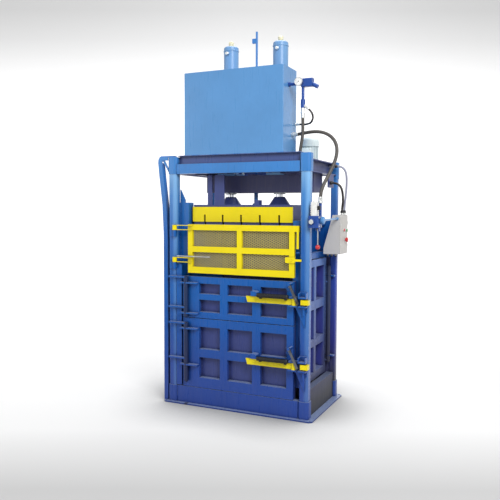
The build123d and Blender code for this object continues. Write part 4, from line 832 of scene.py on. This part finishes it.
class BALER_OT_gauge(bpy.types.Operator):
    """Dial, bezel, divisions and needle of the pressure gauge"""
    bl_idname = "baler.gauge"
    bl_label = "Pressure gauge"

    def execute(self, context):
        x, _, z = middle("gauge")
        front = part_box("gauge")[0][1]
        facing = at((x, front, z), FRONT)
        rim = turned([
            (-0.004, 0.0335), (0.002, 0.0345), (0.0045, 0.0338), (0.0052, 0.0322), (0.0048, 0.0300),
            (0.0012, 0.0292), (0.0008, 0.0100),
        ], 64)
        fit("gauge_rim", "chrome", (rim, [facing]))
        face = turned([(0.0002, 0.0290), (0.0016, 0.0290), (0.0018, 0.0280)], 64)
        fit("gauge_face", "dial white", (face, [facing]))

        def on_dial(degrees, height):
            turn = Matrix.Rotation(math.radians(degrees), 4, "Y")
            return Matrix.Translation((x, front - height, z)) @ turn

        marks = []
        # 24 divisions over 270 degrees, every sixth one longer and wider, all ending on one circle.
        for i in range(25):
            half, run = (0.0004, 0.003) if i % 6 else (0.0007, 0.0055)
            mark = block((-half, -0.0002, -run / 2), (half, 0.0002, run / 2), 0.0001)
            outwards = Matrix.Translation((0, 0, 0.0262 - run / 2))
            marks += copies(mark, [on_dial(-135 + 270 * i / 24, 0.0019) @ outwards])
        hub = turned([(0.0018, 0.0035), (0.0036, 0.0035), (0.0042, 0.0026)], 24)
        marks += copies(hub, [facing])
        needle = block((-0.0007, -0.0003, -0.006), (0.0007, 0.0003, 0.021), 0.0002)
        marks += copies(needle, [on_dial(-128, 0.0028)])
        assemble(marks, "gauge_marks", "black plastic")
        return {"FINISHED"}


class BALER_OT_grips(bpy.types.Operator):
    """Ribbed hand grips of the two door locks, each on its two arms"""
    bl_idname = "baler.grips"
    bl_label = "Hand grips"

    def execute(self, context):
        groove, pitch = sizes().grip_groove, sizes().grip_pitch
        radius = 0.019
        for prefix in ("upper", "lower"):
            node = prefix + "_lock_grip"
            low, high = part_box(node)
            y, z = low[1] + radius, high[2] - radius
            run = high[0] - low[0]
            count = round((run - 0.02) / pitch)
            step = (run - 0.02) / count
            profile = [(0.0, radius - 0.006), (0.002, radius - 0.002), (0.006, radius)]
            for i in range(count):
                s = 0.010 + i * step
                profile += [
                    (s, radius), (s + step * 0.18, radius - groove), (s + step * 0.42, radius - groove),
                    (s + step * 0.6, radius),
                ]
            profile += [(run - 0.006, radius), (run - 0.002, radius - 0.002), (run, radius - 0.006)]
            pieces = copies(turned(profile, 28), [at((low[0], y, z), RIGHT)])
            for x in (low[0] + 0.018, high[0] - 0.036):
                pieces.append(block((x, y, low[2]), (x + 0.018, high[1], z), 0.003))
            grip = assemble(pieces, prefix + "_ribbed_grip", "grip", prefix + "_lock")
            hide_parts(node)
        return {"FINISHED"}


class BALER_OT_motor(bpy.types.Operator):
    """Fan cowl slots and band, and the terminal box's lid and screws"""
    bl_idname = "baler.motor"
    bl_label = "Motor details"

    def execute(self, context):
        x, y, cowl_low, cowl_radius = 0.517, 0.0, 2.272, 0.0770
        slot = block((-0.0016, -0.0042, -0.015), (0.0016, 0.0042, 0.015), 0.0014)
        slots = around(sizes().cowl_slots, (x, y, cowl_low + 0.024), cowl_radius)
        fit("cowl_slots", "motor enamel", (slot, slots))
        band = turned([(0.0, 0.0775), (0.0005, 0.0792), (0.0060, 0.0792), (0.0066, 0.0775)], 64)
        pieces = copies(band, [Matrix.Translation((x, y, cowl_low - 0.001))])
        # The lid laps over the terminal box that lies between these two corners.
        low, high = (0.472, -0.106, 2.177), (0.562, -0.052, 2.252)
        pieces.append(block(
            (low[0] - 0.002, low[1] - 0.004, low[2] + 0.004),
            (high[0] + 0.002, low[1] + 0.001, high[2] - 0.004), 0.003))
        assemble(pieces, "motor_trim", "motor enamel")
        screw = turned([(0.0, 0.004), (0.0015, 0.004), (0.003, 0.003)], 16)
        corners = [
            at((cx, low[1] - 0.0038, cz), FRONT)
            for cx in (low[0] + 0.007, high[0] - 0.007) for cz in (low[2] + 0.013, high[2] - 0.013)
        ]
        fit("terminal_screws", "zinc", (screw, corners))
        return {"FINISHED"}


class BALER_OT_tank(bpy.types.Operator):
    """Breather cap, drain plug and level glass of the oil tank"""
    bl_idname = "baler.tank"
    bl_label = "Tank details"

    def execute(self, context):
        low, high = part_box("oil_tank")
        left, rear, top = low[0], high[1] - 0.008, high[2] - 0.042
        filler, vent_radius, drain_z = (left + 0.150, rear - 0.055), 0.0262, 2.240
        cap = turned([
            (0.0, 0.030), (0.004, 0.0335), (0.016, 0.0345), (0.020, 0.0325), (0.0215, 0.026),
            (0.0205, 0.012),
        ], 40)
        fit("breather_cap", "black plastic", (cap, [Matrix.Translation((*filler, top + 0.021))]))
        vent = block((-0.0012, -0.002, -0.005), (0.0012, 0.002, 0.005), 0.0008)
        plug = turned([(0.0, 0.017), (0.004, 0.017), (0.0045, 0.013), (0.014, 0.013), (0.0155, 0.0115)], 6)
        glass_end = turned([(0.0, 0.013), (0.010, 0.013), (0.012, 0.011)], 24)
        glass_y, glass_z = rear - 0.080, (2.440, 2.600)
        pieces = copies(vent, around(16, (*filler, top + 0.010), vent_radius))
        pieces += copies(plug, [at((left + 0.080, rear, drain_z), REAR, 0.3)])
        pieces += copies(glass_end, [at((left, glass_y, z), LEFT) for z in glass_z])
        low, high = (left - 0.009, glass_y - 0.008, glass_z[0]), (left - 0.001, glass_y + 0.008, glass_z[1])
        pieces.append(block(low, high, 0.002))
        assemble(pieces, "tank_fittings", "zinc")
        return {"FINISHED"}


class BALER_OT_cylinders(bpy.types.Operator):
    """Port plugs, barrel rings and rod wipers of the two cylinders"""
    bl_idname = "baler.cylinders"
    bl_label = "Cylinder details"

    def execute(self, context):
        both = (-CYLINDER_X, CYLINDER_X)
        collar_y, plug_y, ring_z, rod_exit = -0.078, -0.088, 3.146, 1.8665
        collar = turned([(0.0, 0.0150), (0.006, 0.0150), (0.007, 0.0135), (0.012, 0.0135)], 6)
        plug = turned([(0.0, 0.0125), (0.009, 0.0125), (0.011, 0.0105), (0.0112, 0.005)], 24)
        fit(
            "port_plugs", "zinc", (collar, [at((x, collar_y, PORT_HEIGHT), FRONT, 0.2) for x in both]),
            (plug, [at((x, plug_y, PORT_HEIGHT), FRONT) for x in both]))
        ring = turned([(0.0, 0.0685), (0.003, 0.0705), (0.007, 0.0705), (0.010, 0.0685)], 64)
        foot = turned([(0.0, 0.0720), (0.004, 0.0700), (0.009, 0.0668)], 64)
        fit(
            "barrel_rings", "cylinder enamel", (ring, [Matrix.Translation((x, 0, ring_z)) for x in both]),
            (foot, [Matrix.Translation((x, 0, FLANGE_TOP)) for x in both]))
        wiper = turned([(0.0, 0.0385), (0.003, 0.0405), (0.008, 0.0405)], 48)
        fit("rod_wipers", "black plastic", (wiper, [Matrix.Translation((x, 0, rod_exit)) for x in both]))
        return {"FINISHED"}


class BALER_OT_control_box(bpy.types.Operator):
    """Gasket line, hinges, locks, gland nuts and button rings of the control box"""
    bl_idname = "baler.control_box"
    bl_label = "Control box details"

    def execute(self, context):
        low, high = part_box("box_cover")
        proud = 0.0006
        gasket = block(
            (COVER_FACE - 0.0042, low[1] - proud, low[2] - proud),
            (COVER_FACE - 0.0026, high[1] + proud, high[2] + proud), 0.0006)
        assemble([gasket], "cover_gasket", "black plastic")
        knuckle = turned([(0.0, 0.0042), (0.001, 0.0052), (0.027, 0.0052), (0.028, 0.0042)], 20)
        hinges = [Matrix.Translation((COVER_FACE - 0.002, high[1] + 0.002, z)) for z in (1.400, 1.600)]
        lock = turned([(0.0, 0.0095), (0.002, 0.0095), (0.0032, 0.0082), (0.0030, 0.0030)], 24)
        locks = [at((COVER_FACE, low[1] + 0.020, z), RIGHT) for z in (1.430, 1.600)]
        ring = turned([
            (0.0, 0.0205), (0.003, 0.0205), (0.0045, 0.0190), (0.0045, 0.0150), (0.0030, 0.0138),
        ], 40)
        buttons = [middle(node) for node in ("stop_button", "start_button", "emergency_stop")]
        collars = [at((COVER_FACE + 0.0005, y, z), RIGHT) for _, y, z in buttons]
        fit("box_hardware", "zinc", (knuckle, hinges), (lock, locks), (ring, collars))
        nut = turned([(0.0, 0.0125), (0.006, 0.0125), (0.0068, 0.0115)], 6)
        dome = turned([(0.0, 0.0112), (0.006, 0.0108), (0.010, 0.0085), (0.0105, 0.0050)], 24)
        foot_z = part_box("control_box")[0][2] + 0.002
        outlets, outlet_y, outlet_z = (0.648, 0.684, 0.720), 0.130, 1.345
        fit(
            "box_gland_nuts", "black plastic",
            (nut, [at((x, outlet_y, outlet_z), DOWN, 0.2 * i) for i, x in enumerate(outlets)]),
            (dome, [at((x, outlet_y, foot_z), DOWN) for x in outlets]))
        return {"FINISHED"}


class BALER_OT_valve(bpy.types.Operator):
    """Coil ribs, plug and end nut of the solenoid, and the caps and rigid pipe of the hand valve"""
    bl_idname = "baler.valve"
    bl_label = "Valve details"

    def execute(self, context):
        low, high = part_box("solenoid")
        x, y, _ = middle("solenoid")
        ribs, proud = [], 0.0016
        for i in range(5):
            z = low[2] + 0.014 + 0.018 * i
            ribs.append(block(
                (low[0] - proud, low[1] - proud, z), (high[0] + proud, high[1] + proud, z + 0.006), 0.0012))
        assemble(ribs, "coil_ribs", "white plastic")
        half, plug_low, plug_high = 0.014, 1.728, 1.762
        plug = block((high[0] - 0.001, y - half, plug_low), (high[0] + 0.024, y + half, plug_high), 0.003)
        assemble([plug], "coil_plug", "black plastic")
        # Round end cap of the return port, and the rigid pipe from it to the front of the control box.
        knob = turned([(0.0, 0.022), (0.004, 0.030), (0.022, 0.030), (0.030, 0.024), (0.032, 0.012)], 40)
        return_port = (0.7475, -0.370, 1.646)
        start, end = Vector((0.764, -0.342, 1.646)), Vector((0.745, 0.088, 1.655))
        run, bore = (end - start).length, 0.0085
        pipe = turned([
            (-0.004, 0.011), (0.0, 0.0132), (0.014, 0.0132), (0.016, bore), (run - 0.020, bore),
            (run - 0.018, 0.0125), (run - 0.004, 0.0125), (run, 0.0150), (run + 0.003, 0.0150),
        ], 24)
        fit(
            "return_cap", "tank enamel", (knob, [at(return_port, RIGHT)]),
            (pipe, [at(start, end - start)]))
        nut = turned([(0.0, 0.016), (0.003, 0.016), (0.004, 0.013), (0.012, 0.013), (0.0135, 0.0115)], 6)
        cap = turned([(0.0, 0.0205), (0.004, 0.0205), (0.006, 0.0185), (0.009, 0.0185), (0.0095, 0.008)], 6)
        screw = turned([(0.0, 0.0062), (0.006, 0.0062), (0.0064, 0.0030), (0.0040, 0.0028)], 20)
        valve_face, front_port = 0.748, (0.696, -0.4615, 1.634)
        screws = [at((valve_face, cy, z), RIGHT) for cy in (-0.426, -0.378) for z in (1.600, 1.668)]
        fit(
            "valve_hardware", "zinc", (nut, [Matrix.Translation((x, y, high[2]))]),
            (cap, [at(front_port, FRONT, 0.2)]), (screw, screws))
        return {"FINISHED"}


class BALER_OT_paint(bpy.types.Operator):
    """Give every solid that stays its finish"""
    bl_idname = "baler.paint"
    bl_label = "Paint and metal finishes"

    def execute(self, context):
        slots = {entry["node"]: entry["material_slot"] for entry in frame["record"]["subparts"]}
        for name, node in frame["nodes"].items():
            set_finish(node, SPECIAL_FINISH.get(name, NODE_FINISH[slots[name]]))
        return {"FINISHED"}


# Studio


CAMERA_PLACE = (2.346, -5.200, 1.727)
CAMERA_TURN = (24.71, -3.63, 0.226)
CAMERA_LENS = 45.47
# The world lights the scene at one level and shows at the other.
SKY_LEVEL, WHITE_LEVEL = 0.34, 0.92
# Each soft lamp: its name, place, what it points at, its size in metres and its power in watts.
LAMPS = (
    ("key", (3.9, -4.1, 4.8), (0, 0, 1.5), (2.6, 2.6), 285),
    ("fill", (-4.2, -3.6, 2.6), (0, 0, 1.2), (3.0, 3.0), 60),
    ("top", (0.2, 0.9, 6.2), (0, 0, 1.5), (3.4, 3.0), 140),
)
WHITE = (1, 1, 1, 1)


def area_lamp(name, place, target, size, power):
    lamp = bpy.data.lights.new(name, "AREA")
    lamp.shape = "RECTANGLE"
    lamp.size, lamp.size_y = size
    lamp.energy = power
    holder = bpy.data.objects.new(name, lamp)
    holder.location = place
    holder.rotation_euler = (Vector(target) - Vector(place)).to_track_quat("-Z", "Y").to_euler()
    bpy.context.scene.collection.objects.link(holder)


def seen_rays(add):
    """1 for the rays that show the background: the camera's, and those of metal and glass."""
    path = add("LightPath")
    seen = path.outputs["Is Camera Ray"]
    for ray in ("Is Glossy Ray", "Is Transmission Ray"):
        seen = add("Math", {0: seen, 1: path.outputs[ray]}, operation="MAXIMUM")
    return seen


def paper_finish(along):
    """Seamless paper: white behind the machine, with painted shade that makes it pale grey at the top and on
    the floor in front.
    """
    material, add, place = new_material("Seamless studio paper")
    height = add("SeparateXYZ", {"Vector": place}).outputs["Z"]
    # How far along the paper's run a point lies, from the middle of the machine.
    run = add("VectorMath", {0: place, 1: along}, operation="DOT_PRODUCT")
    # The soft shade close round the base, on the floor only.
    base = add("AmbientOcclusion", {"Distance": 0.7}, samples=12).outputs["AO"]
    base_shade = add("ValToRGB", {"Fac": base}, [(0.45, 0.3), (1.0, 1.0)])
    on_floor = add("ValToRGB", {"Fac": height}, [(0.0, 1.0), (0.01, 0.0)])
    fades = []
    # Where each fade starts and ends, and its stops: up the wall, towards the front, and back over the bend.
    # The first two are painted falloff of the light. The last is a painted glow of the paper, which makes up
    # for the lamps' falloff towards the wall.
    for source, start, end, stops in (
        (height, 3.32, 4.60, [(0.0, 0.97), (0.338, 0.79), (0.672, 0.636), (1.0, 0.537)]),
        (run, -0.055, -1.905, [(0.0, 1.0), (0.427, 0.94), (0.746, 0.765), (1.0, 0.61)]),
        (run, -0.105, 3.595, [
            (0.0, 0.48), (0.3, 0.53), (0.67, 0.68), (0.83, 0.90), (0.93, 0.88), (1.0, 0.80)]),
    ):
        reach = add("MapRange", {"Value": source, "From Min": start, "From Max": end})
        fades.append(add("ValToRGB", {"Fac": reach}, stops))
    upper, near, glowing = fades
    floor_shade = layered(add, WHITE, [(on_floor, base_shade, "MIX")])
    tone = layered(add, upper, [(1.0, near, "MULTIPLY"), (1.0, floor_shade, "MULTIPLY")])
    matt = layered(add, tone, [(1.0, (0.55, 0.55, 0.55, 1), "MULTIPLY")])
    own_light = layered(add, tone, [(1.0, glowing, "MULTIPLY")])
    shown = add("AddShader", {
        0: add("BsdfDiffuse", {"Color": matt}), 1: add("Emission", {"Color": own_light}),
    })
    plain = add("BsdfDiffuse", {"Color": linear("#dcdcdc")})
    paper = add("MixShader", {0: seen_rays(add), 1: plain, 2: shown})
    # From behind, the machine is seen through the wall of the paper.
    clear = add("BsdfTransparent", {"Color": WHITE})
    behind = add("NewGeometry").outputs["Backfacing"]
    whole = add("MixShader", {0: behind, 1: paper, 2: clear})
    add("OutputMaterial", {"Surface": whole})
    return material


class BALER_OT_stage(bpy.types.Operator):
    """Set up the seamless paper, the soft lamps and the camera"""
    bl_idname = "baler.stage"
    bl_label = "Studio"

    def execute(self, context):
        scene = context.scene
        width, near, far, high, bend = 16.0, -8.0, 3.6, 9.0, 1.6
        yaw, pitch, roll = (math.radians(a) for a in CAMERA_TURN)
        square_on = Matrix.Rotation(yaw, 3, "Z")
        profile = [(near, 0.0), (far - bend, 0.0)]
        for step in range(1, 13):
            angle = math.radians(90 * step / 12)
            profile.append((far - bend + bend * math.sin(angle), bend - bend * math.cos(angle)))
        profile.append((far, high))
        mesh = bpy.data.meshes.new("paper")
        vertices = [square_on @ Vector((x, y, z)) for y, z in profile for x in (-width / 2, width / 2)]
        faces = [(2 * i, 2 * i + 1, 2 * i + 3, 2 * i + 2) for i in range(len(profile) - 1)]
        mesh.from_pydata(vertices, [], faces)
        paper = bpy.data.objects.new("paper", mesh)
        scene.collection.objects.link(paper)
        for face in mesh.polygons:
            face.use_smooth = True
        mesh.materials.append(paper_finish(square_on @ Vector((0, 1, 0))))
        world = bpy.data.worlds.new("studio")
        world.use_nodes = True
        world.node_tree.nodes.clear()
        add = functools.partial(add_node, world)
        sky = add("Background", {"Color": WHITE, "Strength": SKY_LEVEL})
        white = add("Background", {"Color": WHITE, "Strength": WHITE_LEVEL})
        both = add("MixShader", {0: seen_rays(add), 1: sky, 2: white})
        add("OutputWorld", {"Surface": both})
        scene.world = world
        for lamp in LAMPS:
            area_lamp(*lamp)
        camera = bpy.data.cameras.new("camera")
        camera.lens = CAMERA_LENS
        camera.sensor_width = 36.0
        camera.clip_end = 60.0
        holder = bpy.data.objects.new("camera", camera)
        turn = Matrix.Rotation(yaw, 4, "Z") @ Matrix.Rotation(math.pi / 2 + pitch, 4, "X")
        turn = turn @ Matrix.Rotation(roll, 4, "Z")
        holder.matrix_world = Matrix.Translation(CAMERA_PLACE) @ turn
        scene.collection.objects.link(holder)
        scene.camera = holder
        scene.view_settings.view_transform = "Standard"
        return {"FINISHED"}


class BALER_PT_panel(bpy.types.Panel):
    """Lists the steps that finish the baler"""
    bl_idname = "BALER_PT_panel"
    bl_label = "Vertical baler"
    bl_space_type = "VIEW_3D"
    bl_region_type = "UI"
    bl_category = "Baler"

    def draw(self, context):
        for group in (context.scene.baler_colours, context.scene.baler_sizes):
            for name in group.__annotations__:
                self.layout.prop(group, name)
        for step in STEPS:
            self.layout.operator(step.bl_idname)


STEPS = (
    BALER_OT_stage, BALER_OT_hoses, BALER_OT_hose_ends, BALER_OT_gate_mesh, BALER_OT_bolts, BALER_OT_welds,
    BALER_OT_gauge, BALER_OT_grips, BALER_OT_motor, BALER_OT_tank, BALER_OT_cylinders, BALER_OT_control_box,
    BALER_OT_valve, BALER_OT_paint,
)
CLASSES = (BalerColours, BalerSizes, *STEPS, BALER_PT_panel)


def register():
    for item in CLASSES:
        bpy.utils.register_class(item)
    bpy.types.Scene.baler_colours = PointerProperty(type=BalerColours)
    bpy.types.Scene.baler_sizes = PointerProperty(type=BalerSizes)


def unregister():
    del bpy.types.Scene.baler_sizes
    del bpy.types.Scene.baler_colours
    for item in reversed(CLASSES):
        bpy.utils.unregister_class(item)


def main():
    register()
    for step in STEPS:
        bpy.ops.object.select_all(action="DESELECT")
        group, name = step.bl_idname.split(".")
        getattr(getattr(bpy.ops, group), name)()


if __name__ == "__main__":
    main()
